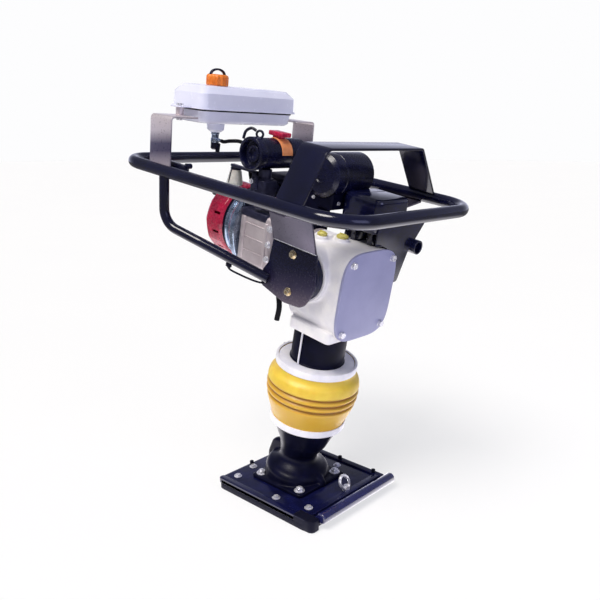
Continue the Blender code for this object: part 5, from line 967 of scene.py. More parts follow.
low, high = SIDE_PLATE
plate = [(low, 0.0836, 0.001), (low + 0.0010, 0.0846, 0.001), (low + 0.0040, 0.0846, 0.001)]
plate += [(low + 0.0060, 0.0822, 0.001), (low + 0.0130, 0.0826, 0.002), (low + 0.0230, 0.0876, 0.006)]
plate += [(low + 0.0240, 0.0880, 0.008), (high - 0.0012, 0.0880, 0.008), (high, 0.0868, 0.008)]
plate = [(level, eared(reach, ear)) for level, reach, ear in plate]
bore = [(high, SHAFT_HOLE), (PLATE_WEB, SHAFT_HOLE), (PLATE_WEB, PLATE_BORE), (low, PLATE_BORE)]
plate += [(level, circle(radius, 192)) for level, radius in bore]
parts = [at(stacked(plate, True), (0, 0, ENGINE_AXIS), FACING_FRONT)]
for turn in range(4):
    spot = about_engine(high - 0.0005, EAR_CIRCLE, math.pi / 4 + turn * math.pi / 2)
    parts.append(at(hex_head(*PLATE_BOLT), spot, FACING_FRONT))
make("side_plate", parts, bright_cast, "upper_unit", ["engine_side_plate"])


def starter_cup():
    """The starter cover: a turned cup whose wall is pressed into twelve shallow flats."""
    rear, front = RECOIL_ENDS
    wall = 0.0025
    outside = [(0, rear), (0.040, rear), (0.043, rear + 0.002), (0.066, rear + 0.002), (0.0725, rear)]
    outside += [(0.0825, rear + 0.004), (RECOIL_RADIUS, rear + 0.014), (RECOIL_RADIUS, front - 0.006)]
    outside += [(0.0840, front)]
    within = [(0.0815, front), (RECOIL_RADIUS - wall, front - 0.007), (RECOIL_RADIUS - wall, rear + 0.016)]
    within += [(0.0725, rear + wall + 0.003), (0, rear + wall + 0.002)]
    profile = eased(outside + within, 0.005, 5)
    t = full_turn(192)
    flats = math.cos(math.pi / 12) / np.cos(t % (math.pi / 6) - math.pi / 12)
    share = np.clip((profile[:, :1] - 0.055) / 0.02, 0, 1) * 0.45
    grid = wound(profile[:, :1] * (1 + share * (flats - 1)), profile[:, 1:], t)
    return at(skin(grid, caps=False), (0, 0, ENGINE_AXIS), FACING_FRONT)


slots = []
for count, level, radius, bar, depth in (REAR_SLOTS, WALL_SLOTS):
    for i in range(count):
        angle = 2 * math.pi * (i + 0.5) / count
        spot = about_engine(level, radius, angle)
        slots.append(at(prism(rectangle(*bar), *depth), spot, FACING_FRONT @ turned(angle)))
rope_spot = (RECOIL_ENDS[0], 0, ROPE_HEIGHT)
slots.append(at(rod(ROPE_HOLE, -0.02, 0.02), rope_spot, FACING_FRONT))
make("starter_cover", [starter_cup()], crimson, "upper_unit", ["recoil_cover"], cuts=slots)
# The rope's guide, the dark ring before the cover and the pulley's post are one piece.
guide = [(ROPE_HOLE, -0.003), (0.0120, -0.003), (0.0120, 0.006), (ROPE_HOLE, 0.006)]
guide = at(spun(guide, 0.001, 40, True), rope_spot, FACING_FRONT)
fan_ring = at(lathe(FAN_RING, 96, ring=True), (0, 0, ENGINE_AXIS), FACING_FRONT)
post = at(rod(0.008, RECOIL_ENDS[0] + 0.0035, -0.3075), (0, 0, ENGINE_AXIS), FACING_FRONT)
make("rope_guide", [guide, fan_ring, post], black_enamel, "upper_unit")


def fins():
    """The barrel: square-edged fins turned on a waist, the head box and its rocker cover on top."""
    base = BLOCK_MIDDLE[2] + BLOCK_SIZE[2] / 2 + 0.0003
    r, waist = BARREL_RADIUS, WAIST_RADIUS
    profile = [(0, base), (r, base)]
    for i in range(4):
        low = base + 0.0035 + i * FIN_STEP
        profile += [(r, low), (waist, low + 0.0005), (waist, low + 0.0065), (r, low + 0.007)]
    profile += [(r, base + 0.048), (0, base + 0.048)]
    shape = [at(lathe(profile, 64), (*HEAD_SPOT, 0))]
    for i in range(3):
        wide = np.array(HEAD_SIZE) * (1, 1, 0) + (0, 0, 0.0035)
        shape.append(block((*HEAD_SPOT, base + 0.0505 + i * 0.0085), wide, 0.0012, 0.008))
    shape.append(block((*HEAD_SPOT, base + 0.059), np.array(HEAD_SIZE) - (0.012, 0.012, 0), 0.001, 0.008))
    shape.append(block((*HEAD_SPOT, base + 0.077), (0.066, 0.068, 0.016), 0.005, 0.010))
    return shape


make("cylinder_and_head", fins(), dark_alloy, "upper_unit", ["engine_cylinder"])
keep(["flywheel"], die_cast)
# A dark sheet on the engine block's top: painted shadow over the block.
top_shadow_sheet = [block(TOP_SHADOW_SPOT, TOP_SHADOW_SIZE, 0.003, 0.010)]
make("engine_top_shadow_sheet", top_shadow_sheet, dark_alloy, "upper_unit")


# Air cleaner and canister. Two drums of black moulded plastic. One lies along the tank's front,
# with an open inlet ring, an orange strap, a red clip and a short breather hose. The other sits on
# an enamelled stand over the clutch, which two small screws hold.
FILTER_SPOT = (-0.190, -0.106, 0.784)
FILTER_LENGTH, FILTER_RADIUS = 0.150, 0.0345
CANISTER_SPOT = (-0.055, -0.022, 0.765)
CANISTER_LENGTH, CANISTER_RADIUS = 0.135, 0.0478
STAND_SCREW = (0.0036, 0.0030, 0.0006, 1.2)
STAND_SCREWS = [((-0.0733, -0.0122, 0.7128), "near"), ((-0.0200, 0.0097, 0.7095), "front")]
STRAP_RUN, STRAP_ANGLES = (0.066, 0.098), (78, 178)
CLIP_SPOT, CLIP_SIZE = (-0.188, -0.024, 0.827), (0.044, 0.030, 0.010)
CLIP_FOOT, CLIP_FOOT_SIZE = (-0.190, -0.024, 0.819), (0.020, 0.020, 0.010)

# Moulded plastic: blue black, with a soft shine and a light moulding grain.
black_plastic = finish("black moulded plastic", "#0e1030", "#08091f", (0.2, 0.32), 0.002, 0.0001, shine=0.42)
# Orange plastic of the fuel cap: bright, a little chalky.
orange_plastic = finish(
    "orange moulded plastic", "#f0862a", "#d86a14", (0.34, 0.5), 0.002, 0.0002,
    patch=0.012,
)

# Orange plastic of the filter's strap, made a pale peach all over: a painted highlight.
strap_plastic_painted_highlight = finish("orange plastic lightened as painted highlight", "#f3a06a", "#e58c50", (0.36, 0.5), 0.002, 0.0002, patch=0.012)

r, end = FILTER_RADIUS, FILTER_LENGTH
drum = [(0, end), (r - 0.004, end), (r - 0.001, end - 0.004), (r - 0.001, 0.104)]
drum += [(r - 0.0025, 0.103), (r - 0.0025, 0.100), (r - 0.001, 0.099), (r - 0.001, 0.023)]
drum += [(r - 0.003, 0.0215), (r + 0.0012, 0.0205), (r + 0.0012, 0.001), (r - 0.001, 0)]
drum += [(r - 0.0045, 0), (r - 0.006, 0.016), (0.019, 0.018), (0.018, 0.009), (0.012, 0.008)]
drum += [(0.0105, 0.015), (0, 0.015)]
filter_drum = at(spun(drum, 0.0008, 96), FILTER_SPOT, FACING_FAR)
make("filter_drum", [filter_drum], black_plastic, "upper_unit", ["air_cleaner"])
r, end = CANISTER_RADIUS, CANISTER_LENGTH
drum = [(0, end), (r - 0.010, end), (r, end - 0.009), (r, 0.038), (r - 0.0015, 0.037)]
drum += [(r - 0.0015, 0.034), (r, 0.033), (r, 0.008), (r - 0.009, 0), (0.016, 0), (0.014, 0.0025)]
drum += [(0, 0.0025)]
canister = at(spun(drum, 0.0015, 112, arcs=4), CANISTER_SPOT, FACING_FAR)
make("filter_canister_drum", [canister], black_plastic, "upper_unit", ["filter_canister"])
keep(["canister_stand"], black_enamel)
screw = hex_head(*STAND_SCREW)
facings = {"near": FACING_NEAR, "front": FACING_FRONT}
screws = [at(screw, spot, facings[side]) for spot, side in STAND_SCREWS]
make("stand_screws", screws, zinc, "upper_unit")


def strap(radius, low, high, first, last, thick=0.0016):
    """Part of a band round a drum along Z, between two angles in degrees."""
    t = np.radians(np.linspace(first, last, 24))
    rows = []
    for angle in t:
        ray = np.array([math.cos(angle), math.sin(angle)])
        corners = [(radius, low), (radius + thick, low), (radius + thick, high), (radius, high)]
        rows.append([(*(ray * far), z) for far, z in corners])
    return skin(np.array(rows))


band = at(strap(FILTER_RADIUS - 0.0013, *STRAP_RUN, *STRAP_ANGLES), FILTER_SPOT, FACING_FAR)
make("filter_strap", [band], strap_plastic_painted_highlight, "upper_unit", edge=0.0004)
clip = [block(CLIP_SPOT, CLIP_SIZE, 0.0025), block(CLIP_FOOT, CLIP_FOOT_SIZE, 0.001)]
make("filter_clip", clip, crimson, "upper_unit")
breather = [(-0.222, -0.100, 0.810), (-0.219, -0.098, 0.826), (-0.207, -0.094, 0.835)]
breather += [(-0.196, -0.090, 0.832)]
breather = sweep(smooth_path(breather, 8), circle(0.0032, 16))
t = full_turn(28)
collar = [-0.189 + 0.0070 * np.cos(t), -0.084 + 0.0030 * np.cos(t), 0.8250 + 0.0075 * np.sin(t)]
loops = [breather, sweep(np.column_stack(collar), circle(0.0026, 14), closed=True)]
make("breather_hose", loops, black_plastic, "upper_unit")


# Carburettor and fuel strainer. A zinc casting with a float bowl, its throat under the filter and
# an arm that holds the strainer's clear cup. A black lever on its near face works the choke.
CARB_SPOT, CARB_SIZE = (-0.178, -0.065, 0.706), (0.046, 0.044, 0.048)
STRAINER_SPOT = (-0.268, -0.070, 0.716)
CHOKE_SPOT = (-0.178, -0.0883, 0.712)
CARB_SCREW = (0.0042, 0.0034, 0.0008, 1.3)
CARB_SCREWS = [(-0.017, 0.016), (-0.016, -0.015), (0.016, -0.015)]

x, y, z = CARB_SPOT
carb = [block(CARB_SPOT, CARB_SIZE, 0.003, 0.007), at(rod(0.016, -0.043, -0.021, 0.003), CARB_SPOT)]
carb.append(at(rod(0.0185, -0.026, -0.022, 0.001), CARB_SPOT))
carb.append(at(rod(0.015, 0.020, 0.046), CARB_SPOT))
carb.append(at(rod(0.020, 0.022, 0.027, 0.001), CARB_SPOT))
carb.append(at(rod(0.012, -0.0375, -0.018), (x, y, z + 0.004), FACING_NEAR))
carb.append(block((x - 0.0535, y - 0.012, z + 0.0353), (0.085, 0.012, 0.006), 0.0015))
carb.append(block((x - 0.017, y - 0.012, z + 0.029), (0.012, 0.012, 0.018), 0.0015))
make("carburettor_casting", carb, dark_alloy, "upper_unit", ["carburettor"])
heads = [(x + dx, y - 0.022, z + dz) for dx, dz in CARB_SCREWS]
screws = [at(hex_head(*CARB_SCREW), head, FACING_NEAR) for head in heads]
make("carburettor_screws", screws, zinc, "upper_unit")
arm = rounded([(-0.005, -0.005), (0.005, -0.005), (0.004, 0.026), (-0.004, 0.026)], 0.0035, 6)
lever = [at(prism(arm, -0.001, 0.001, 0.0004), CHOKE_SPOT, FACING_NEAR)]
make("choke_arm", lever, black_plastic, "choke", ["choke_lever"])


def clear_cup():
    """Strainer cup: clear plastic gone milky, so it's mostly a pale, wet-looking surface."""
    made = finish("milky clear plastic", "#e9e9e2", "#d2d2c8", (0.08, 0.2), 0.004, 0.0001, patch=0.01)
    shader = made.node_tree.nodes["Principled BSDF"]
    shader.inputs["Transmission Weight"].default_value = 0.35
    shader.inputs["IOR"].default_value = 1.45
    return made


cup = [(0, 0.0160), (0.0115, 0.0160), (0.0135, 0.0120), (0.0165, -0.0020), (0.0188, -0.0150)]
cup += [(0.0170, -0.0196), (0, -0.0196)]
parts = [at(spun(cup, 0.0012, 64, arcs=4), STRAINER_SPOT)]
make("strainer_cup", parts, clear_cup(), "upper_unit", ["fuel_strainer"])
lid = [(0, 0.0218), (0.009, 0.0218), (0.0125, 0.0200), (0.0128, 0.0158), (0, 0.0158)]
parts = [at(spun(lid, 0.001, 64), STRAINER_SPOT)]
bail = [(-0.0115, 0.0185), (-0.0148, 0.010), (-0.0178, -0.004), (-0.0186, -0.012), (-0.0150, -0.0193)]
bail += [(0.0150, -0.0193), (0.0186, -0.012), (0.0178, -0.004), (0.0148, 0.010), (0.0115, 0.0185)]
wire = np.array([(0.0, a, b) for a, b in rounded(bail, 0.006, 5, False)])
parts.append(at(sweep(wire, circle(0.0013, 10)), STRAINER_SPOT))
make("strainer_lid", parts, black_plastic, "upper_unit")


# Silencer. A pressed steel box on two feet over the case, with a strap round it, fed by a pipe from
# the head. A flat sheet shields its front and reaches out on the far side, where it holds the mouth
# of the outlet. Black heat-proof paint, glossy on top.
MUFFLER_SPOT, MUFFLER_SIZE = (0.034, 0.072, 0.703), (0.104, 0.112, 0.076)
SHIELD_PLANE = (0.0865, 0.0890)
SHIELD = [(0.022, 0.6420), (0.046, 0.6412), (0.0705, 0.6330), (0.0800, 0.6225), (0.0870, 0.606)]
SHIELD += [(0.0920, 0.575), (0.0930, 0.548), (0.1269, 0.5495), (0.1493, 0.6174), (0.1944, 0.6789)]
SHIELD += [(0.2000, 0.7000), (0.022, 0.7000)]
SHIELD_ROUNDS = [0.002, 0.01, 0.01, 0.01, 0.01, 0.01, 0.004, 0.008, 0.03, 0.02, 0.008, 0.002]
OUTLET_SPOT = (0.0885, 0.172, 0.628)
BELT_HALF, BELT_THICK, BELT_GAP = 0.004, 0.004, 0.0003
PIPE_LINE = [(-0.1387, 0.047, 0.706), (0.0, 0.047, 0.706)]

# Heat-proof enamel: black, baked hard and glossy.
hot_enamel = finish("heat-proof enamel", "#0d1034", "#090b24", (0.1, 0.18), 0.01, shine=0.8)

box_spot = np.array(MUFFLER_SPOT)
box = [block(box_spot, MUFFLER_SIZE, 0.009, 0.016)]
box.append(sweep(PIPE_LINE, circle(0.008, 32)))
box.append(at(rod(0.012, 0.0, 0.005, 0.001), PIPE_LINE[0], FACING_FRONT))
for end in (-1, 1):
    box.append(block(box_spot + (end * 0.023, -0.010, -0.050), (0.012, 0.044, 0.050), 0.001))
outside = rectangle(MUFFLER_SIZE[1] / 2 + BELT_GAP, MUFFLER_SIZE[2] / 2 + BELT_GAP, 0.010, 6)
within = inset(outside, BELT_THICK)
belt = [(-BELT_HALF, within), (-BELT_HALF, outside), (BELT_HALF, outside), (BELT_HALF, within)]
box.append(at(stacked(belt, True), box_spot + (-0.020, 0, 0), FACING_FRONT))
make("silencer_box", box, hot_enamel, "upper_unit", ["muffler"], edge=0.0006)
shield = rounded(SHIELD, SHIELD_ROUNDS, 6)
shield = [at(prism(shield, *SHIELD_PLANE, 0.0006), (0, 0, 0), FACING_FRONT)]
mouth = [(0.0130, 0.012), (0.0165, 0.012), (0.0165, -0.010), (0.0130, -0.010)]
mouth = spun(mouth, 0.0008, 48, True)
shield += [at(mouth, OUTLET_SPOT, FACING_FRONT), at(rod(0.0135, -0.009, -0.006), OUTLET_SPOT, FACING_FRONT)]
make("silencer_shield", shield, hot_enamel, "upper_unit")


# Drain hose. A short rubber pipe from the engine that ends open beside the near mount.
DRAIN_PATH = [(-0.1237, -0.060, 0.560), (-0.108, -0.066, 0.559), (-0.080, -0.088, 0.545)]
DRAIN_PATH += [(-0.058, -0.101, 0.515), (-0.046, -0.103, 0.480), (-0.048, -0.103, 0.448)]
DRAIN_RADIUS, DRAIN_BORE = 0.0060, 0.0040

# Hose rubber: dead black, matt, with dust in its grain.
hose_rubber = finish("black hose rubber", "#08080e", "#0d0d15", (0.5, 0.68), 0.0012, 0.0002, shine=0.12)


def hose(path, radius, bore, steps=10):
    """An open-ended pipe along a smooth path: its inside is the same sweep, run back."""
    line = smooth_path(path, steps)
    outside, _ = sweep(line, circle(radius, 24), caps=False)
    within, _ = sweep(line, circle(bore, 24), caps=False)
    rows = len(line)
    grid = np.concatenate([outside.reshape(rows, 24, 3), within.reshape(rows, 24, 3)[::-1]])
    return skin(grid, ring=True)


pipe = [hose(DRAIN_PATH, DRAIN_RADIUS, DRAIN_BORE)]
make("drain_pipe", pipe, hose_rubber, "upper_unit", ["drain_hose"])


# Handle. A loop of 27 mm steel tube bent at four corners, with a pressed bracket down to each
# rubber mount, a guard tube below each rail, and a sheet arch to lift the machine by. A thin bright
# strip along each bracket's upper edge is a painted highlight on the fold there, and a grey sheet
# rises from that edge to the rail. A thin cable runs under the near guard tube.
TUBE_RADIUS = 0.0135
HANDLE_ENDS, HANDLE_HALF = (-0.492, 0.192), 0.225
BENDS = (0.070, 0.085)
RAIL_LEVEL, RAIL_RISE = 0.7315, 0.038
SHEET = 0.005
BRACKET_PLANE = 0.1195
BRACKET = [(-0.078, 0.575), (-0.092, 0.556), (-0.092, 0.520), (-0.020, 0.503)]
BRACKET += [(0.036, 0.508), (0.060, 0.555), (0.052, 0.630), (-0.072, 0.630)]
BRACKET_ROUNDS = [0.02, 0.01, 0.01, 0.03, 0.03, 0.02, 0.004, 0.004]
GUARD_RADIUS = 0.011
GUARD_PATH = [(-0.330, 0.223, 0.717), (-0.322, 0.219, 0.602)]
GUARD_PATH += [(-0.225, 0.195, 0.585), (-0.070, 0.1235, 0.540)]
ARCH_TOP, ARCH_NEAR, ARCH_FAR, ARCH_FOOT, ARCH_RUN = 0.846, -0.172, 0.137, 0.2235, (0.016, 0.084)
CABLE_RADIUS, CABLE_BLOCK = 0.0022, (0.014, 0.006, 0.009)
HIGHLIGHT_STRIP_SPOT, HIGHLIGHT_STRIP_SIZE = (-0.010, 0.0027, 0.6303), (0.124, 0.0016, 0.0024)

# Phosphated sheet under clear lacquer: warm grey, satin.
phosphated_sheet = finish(
    "phosphated grey sheet", "#625c6c", "#4a4756", (0.26, 0.4), 0.003, 0.0001,
    metallic=0.5, patch=0.08,
)
# Powder coat on tube and sheet steel: blue black, a smooth glossy skin.
navy_coat = finish("blue black powder coat", "#0a0c2a", "#07081f", (0.12, 0.2), 0.004, shine=0.5, patch=0.06)


def banded(look, low, high, bands):
    """Gives a look colours that change with height, from low to high."""
    tree = look.node_tree
    here = add(tree, "ShaderNodeTexCoord").outputs["Object"]
    height = add(tree, "ShaderNodeSeparateXYZ", links={"Vector": here}).outputs["Z"]
    climb = {"From Min": low, "From Max": high, "To Min": 0.0, "To Max": 1.0}
    share = add(tree, "ShaderNodeMapRange", climb, {"Value": height}).outputs["Result"]
    stops = [(place, linear(colour)) for place, colour in bands]
    blend = add(tree, "ShaderNodeValToRGB", links={"Fac": share}, stops=stops).outputs["Color"]
    tree.links.new(blend, tree.nodes["Principled BSDF"].inputs["Base Color"])


# The same coat on the brackets, made a warm grey towards their feet: a painted reflection of the floor there.
bracket_coat_painted_reflection = finish("powder coat with painted floor reflection", "#0a0c2a", "#07081f", (0.2, 0.3), 0.004, shine=0.4, patch=0.06)
banded(bracket_coat_painted_reflection, 0.500, 0.615, [(0.0, "#4b4050"), (0.3, "#2c2740"), (0.65, "#0e0f2c"), (1.0, "#0a0c2a")])


def rail_height(u):
    """Height of the handle's plane: a line that rises to the front."""
    return RAIL_LEVEL + RAIL_RISE * u


def upward(outline):
    """An outline run anticlockwise: the sign of its area tells its sense."""
    x, y = outline[:, 0], outline[:, 1]
    area = np.sum(x * np.roll(y, -1) - y * np.roll(x, -1))
    return outline if area > 0 else outline[::-1]


def bent(line, thick, bends, steps=6):
    """The outline of a sheet that follows a bent line, half its thickness to each side."""
    path = rounded(line, bends, steps, False)
    ahead = np.gradient(path, axis=0)
    ahead /= np.linalg.norm(ahead, axis=1)[:, None]
    across = np.stack([-ahead[:, 1], ahead[:, 0]], axis=1) * thick / 2
    return upward(np.vstack([path + across, (path - across)[::-1]]))


corners = []
for end, side in ((0, -1), (1, -1), (1, 1), (0, 1)):
    corners.append((HANDLE_ENDS[end], side * HANDLE_HALF, rail_height(HANDLE_ENDS[end])))
loop_path = rounded(corners, (BENDS[0], BENDS[1], BENDS[1], BENDS[0]), 16)
loop = [sweep(loop_path, circle(TUBE_RADIUS, 32), closed=True)]
make("handle_tube", loop, navy_coat, "handle", ["handle_loop"])
for name, side, facing in (("near", -1, FACING_NEAR), ("far", 1, FACING_FAR)):
    lower = (np.array(BRACKET) * (-side, 1))[::-side]
    lower = upward(rounded(lower, BRACKET_ROUNDS[::-side], 8))
    lower = prism(lower, BRACKET_PLANE - SHEET / 2, BRACKET_PLANE + SHEET / 2, 0.0008)
    lower = [at(lower, (0, 0, 0), facing)]
    make("handle_bracket_" + name, lower, bracket_coat_painted_reflection, "handle", ["side_bracket_" + name])
    # A thin bright strip on the bracket's upper edge: a painted highlight where the fold catches the light.
    highlight_strip_spot = (HIGHLIGHT_STRIP_SPOT[0], side * (BRACKET_PLANE + HIGHLIGHT_STRIP_SPOT[1]), HIGHLIGHT_STRIP_SPOT[2])
    edge = [block(highlight_strip_spot, HIGHLIGHT_STRIP_SIZE, 0.0005)]
    make("bracket_highlight_strip_" + name, edge, zinc, "handle")
    top = rail_height(0) - TUBE_RADIUS + 0.0005
    line = [(BRACKET_PLANE, 0.6265), (BRACKET_PLANE, 0.6295), (0.151, top - 0.012), (0.2265, top)]
    rise = bent(np.array(line) * (side, 1), SHEET, [0, 0.001, 0.012, 0])
    rise = [at(prism(rise, -0.071, 0.050, 0.0012), (0, 0, 0), FACING_FRONT)]
    make("bracket_sheet_" + name, rise, phosphated_sheet, "handle")
    path = rounded(np.array(GUARD_PATH) * (1, side, 1), [0, 0.045, 0.06, 0], 12, False)
    guard = [sweep(path, circle(GUARD_RADIUS, 28))]
    make("guard_" + name, guard, navy_coat, "handle", ["guard_tube_" + name])
cable = [(-0.1600, -0.1650, 0.5541), (-0.1537, -0.1621, 0.5403), (-0.1305, -0.1514, 0.5331)]
cable += [(-0.1010, -0.1378, 0.5275), (-0.0824, -0.1292, 0.5271), (-0.0747, -0.1256, 0.5314)]
cable = [sweep(smooth_path(cable, 8), circle(CABLE_RADIUS, 12))]
cable.append(block((-0.1560, -0.1632, 0.5490), CABLE_BLOCK, 0.001))
make("arm_cable", cable, pad_plastic, "handle")
arch_low = rail_height(0.05) + 0.004
line = [(-ARCH_FOOT, arch_low), (ARCH_NEAR, ARCH_TOP), (ARCH_FAR, ARCH_TOP), (ARCH_FOOT, arch_low)]
arch = prism(bent(line, SHEET, [0, 0.020, 0.008, 0], 10), *ARCH_RUN, 0.001)
arch = [at(arch, (0, 0, 0), FACING_FRONT)]
make("lifting_arch", arch, navy_coat, "handle", ["lifting_bracket"])


# Fuel tank. Two steel pressings seam-welded round a flat flange, painted lilac white, that hang
# by an ear at each end from bent plates on the rails.
TANK_SPOT, TANK_PITCH = (-0.368, 0.0, 0.853), math.radians(3.7)
TANK_HALF = (0.059, 0.149)
TANK_CORNER = 0.020
EAR_X, EAR_Y = 0.004, 0.168
FILLER_SPOT = (0.0095, -0.070)
TANK_BRACKET_X = 0.016
EAR_BOLT, EAR_NUT = (0.0073, 0.0040, 0.0012, 1.3), (0.0073, 0.0060, 0.0012, 1.2)

# Lilac white enamel: smooth and glossy, a little darker where the pressing is deep.
tank_enamel = finish(
    "lilac white enamel", "#e8eafa", "#dfe1f4", (0.18, 0.28), 0.01, 0.0001,
    coat=0.3, patch=0.1,
)

# Bare rolled sheet under lacquer: grey, satin. Its colour runs light low down, dark blue grey below the
# middle and light again above: a painted reflection of the studio.
rolled_sheet_painted_reflection = finish(
    "lacquered rolled sheet with painted reflection", "#8f8892", "#7d7684", (0.26, 0.4), 0.003, 0.0001,
    metallic=0.5, patch=0.08,
)
sheet_reflection_bands = [(0.0, "#b8aeb8"), (0.30, "#514c66"), (0.45, "#57536c"), (0.72, "#cfc6ce"), (1.0, "#dcd2d4")]
banded(rolled_sheet_painted_reflection, 0.780, 0.886, sheet_reflection_bands)

c, s = math.cos(TANK_PITCH), math.sin(TANK_PITCH)
TANK_TURN = np.array([(c, 0, -s), (0, 1, 0), (s, 0, c)])


def in_tank(shape, spot=(0, 0, 0), facing=UPRIGHT):
    """A shape placed in the tank's own pitched frame."""
    return at(at(shape, spot, facing), TANK_SPOT, TANK_TURN)


def on_tank(spot):
    """The place of a point of the tank's own frame."""
    return np.array(TANK_SPOT) + TANK_TURN @ np.array(spot)


def tank_shell():
    """Both halves as stacked rectangles: the lower shoulder is a quarter ellipse, the upper slants."""
    d, e = TANK_HALF
    levels = []
    for t in np.linspace(math.pi / 2, 0, 9):
        low = -0.022 - 0.010 * math.sin(t)
        by = 0.0072 + 0.0105 * (1 - math.cos(t))
        levels.append((low, rectangle(d - by, e - by - 0.0015, TANK_CORNER, 8)))
    levels.append((-0.0016, rectangle(d - 0.0042, e - 0.0052, TANK_CORNER, 8)))
    levels.append((0.0016, rectangle(d, e, TANK_CORNER, 8)))
    shoulder = eased([(0.0016, 0.0), (0.0330, 0.0010), (0.0490, 0.0150), (0.0500, 0.0300)], 0.0022, 5)
    for high, by in shoulder[1:]:
        levels.append((high, rectangle(d - by, e - by, TANK_CORNER, 8)))
    return stacked(levels)


d, e = TANK_HALF
seam = prism(rectangle(d + 0.004, e + 0.004, 0.023, 8), -0.0015, 0.0015, 0.0008)
tank = [in_tank(tank_shell()), in_tank(seam)]
tank.append(in_tank(rod(0.0195, 0.043, 0.057, 0.001), (*FILLER_SPOT, 0)))
for side in (-1, 1):
    length = EAR_Y + 0.012 - e + 0.006
    ear = (EAR_X, side * (e + EAR_Y + 0.006) / 2 + side * 0.003, 0)
    tank.append(in_tank(block(ear, (0.040, length, 0.003), 0.0008, 0.008)))
make("tank_shell", tank, tank_enamel, "handle", ["fuel_tank"])
# A thin black band just under the seam flange: painted shadow of the flange.
seam_shadow_band = [(-0.0050, rectangle(d - 0.0035, e - 0.0045, TANK_CORNER, 8))]
seam_shadow_band.append((-0.0014, rectangle(d - 0.0032, e - 0.0042, TANK_CORNER, 8)))
make("tank_seam_painted_shadow", [in_tank(stacked(seam_shadow_band))], hose_rubber, "handle")
ear_bolts = []
for side in (-1, 1):
    head, nut = hex_head(*EAR_BOLT), hex_head(*EAR_NUT)
    ear_bolts.append(in_tank(head, (EAR_X, side * EAR_Y, 0.0015)))
    ear_bolts.append(in_tank(nut, (EAR_X, side * EAR_Y, -0.0225), UPRIGHT * (1, -1, -1)))
make("tank_bolts", ear_bolts, zinc, "handle", edge=0.0004)
for name, side in (("near", -1), ("far", 1)):
    foot_low = rail_height(TANK_SPOT[0] + TANK_BRACKET_X) - TANK_SPOT[2] + 0.004
    line = [(side * HANDLE_HALF, foot_low), (side * HANDLE_HALF, -0.0205), (side * 0.155, -0.0205)]
    sheet = prism(bent(line, 0.004, [0, 0.008, 0], 8), -0.037, 0.037, 0.0007)
    sheet = in_tank(sheet, (TANK_BRACKET_X, 0, 0), FACING_FRONT)
    bush = in_tank(rod(0.009, -0.0185, -0.0017, 0.0015), (EAR_X, side * EAR_Y, 0))
    make("tank_plate_" + name, [sheet, bush], rolled_sheet_painted_reflection, "handle", ["tank_bracket_" + name])


# Fuel cap. Orange plastic with flutes round its side, and a black bow on top to turn it by.
CAP_SPOT = (*FILLER_SPOT, 0.0503)
CAP_RADIUS = 0.0258
CAP_FLUTES, FLUTE_DEPTH = 14, 0.0014


def fluted(profile, flutes, depth, steps=192):
    """A turned shape whose wall is scalloped: the cut is the square of a cosine."""
    profile = np.asarray(profile, float)
    t = full_turn(steps)
    share = np.clip((profile[:, :1] - 0.018) / 0.006, 0, 1)
    radius = profile[:, :1] - share * depth * np.cos(flutes / 2 * t) ** 2
    return skin(wound(radius, profile[:, 1:], t), caps=False)


cap = [(0, 0.0235), (0.0120, 0.0245), (0.0200, 0.0245), (0.0240, 0.0225), (CAP_RADIUS, 0.0190)]
cap += [(CAP_RADIUS, 0.0020), (0.0245, 0.0), (0.0202, 0.0), (0.0202, 0.0070), (0, 0.0070)]
cap = [in_tank(fluted(eased(cap, 0.0015, 4), CAP_FLUTES, FLUTE_DEPTH), CAP_SPOT)]
make("cap_body", cap, orange_plastic, "fuel_cap", ["fuel_cap"])
t = np.radians(np.linspace(0, 180, 25))
bow = np.column_stack([0 * t, 0.0200 * np.cos(t), 0.0232 + 0.0120 * np.sin(t)])
bow = sweep(bow, rectangle(0.0022, 0.0034, 0.0012, 3))
make("cap_bow", [in_tank(bow, CAP_SPOT)], black_plastic, "fuel_cap")


# Fuel cock and hose. A die-cast tap under the tank with a black lever, and a rubber line that
# arches from its barb over to the carburettor.
COCK_SPOT = (0.012, -0.070, -0.0323)
COCK_LEVER = (0.0240, -0.070, -0.082)
BARB = (0.024, -0.070, -0.070)
HOSE_PATH = [(-0.296, -0.070, 0.7905), (-0.262, -0.068, 0.7945), (-0.236, -0.066, 0.780)]
HOSE_PATH += [(-0.228, -0.064, 0.738), (-0.216, -0.065, 0.715), (-0.2015, -0.065, 0.712)]
HOSE_RADIUS, HOSE_BORE = 0.0042, 0.0022

boss = [(0, 0), (0.0208, 0), (0.0196, -0.0150), (0.0110, -0.0210), (0, -0.0210)]
boss = in_tank(spun(boss, 0.0015, 64, arcs=4), COCK_SPOT)
make("cock_boss", [boss], tank_enamel, "handle")
barrel = [(0, -0.0200), (0.0098, -0.0200), (0.0098, -0.0250), (0.0085, -0.0262), (0.0085, -0.0340)]
barrel += [(0.0098, -0.0350), (0.0098, -0.0440), (0, -0.0440)]
barrel = [in_tank(spun(barrel, 0.0008, 56), COCK_SPOT)]
barb = [(0, -0.011), (0.0038, -0.011), (0.0038, 0.004), (0.0030, 0.0045), (0.0037, 0.006)]
barb += [(0.0030, 0.0105), (0, 0.0110)]
barrel.append(at(lathe(barb, 32), on_tank(BARB), FACING_FRONT))
make("cock_barrel", barrel, bright_cast, "handle", ["fuel_cock"])
knob = [(0, -0.0440), (0.0094, -0.0440), (0.0094, -0.0575), (0.0060, -0.0608), (0, -0.0608)]
knob = [in_tank(spun(knob, 0.001, 56), COCK_SPOT)]
make("cock_foot", knob, black_plastic, "handle")
arm = rounded([(-0.005, -0.017), (0.005, -0.017), (0.006, 0.005), (-0.006, 0.005)], 0.003, 6)
arm = [at(prism(arm, -0.002, 0.002, 0.0006), on_tank(COCK_LEVER), FACING_FRONT)]
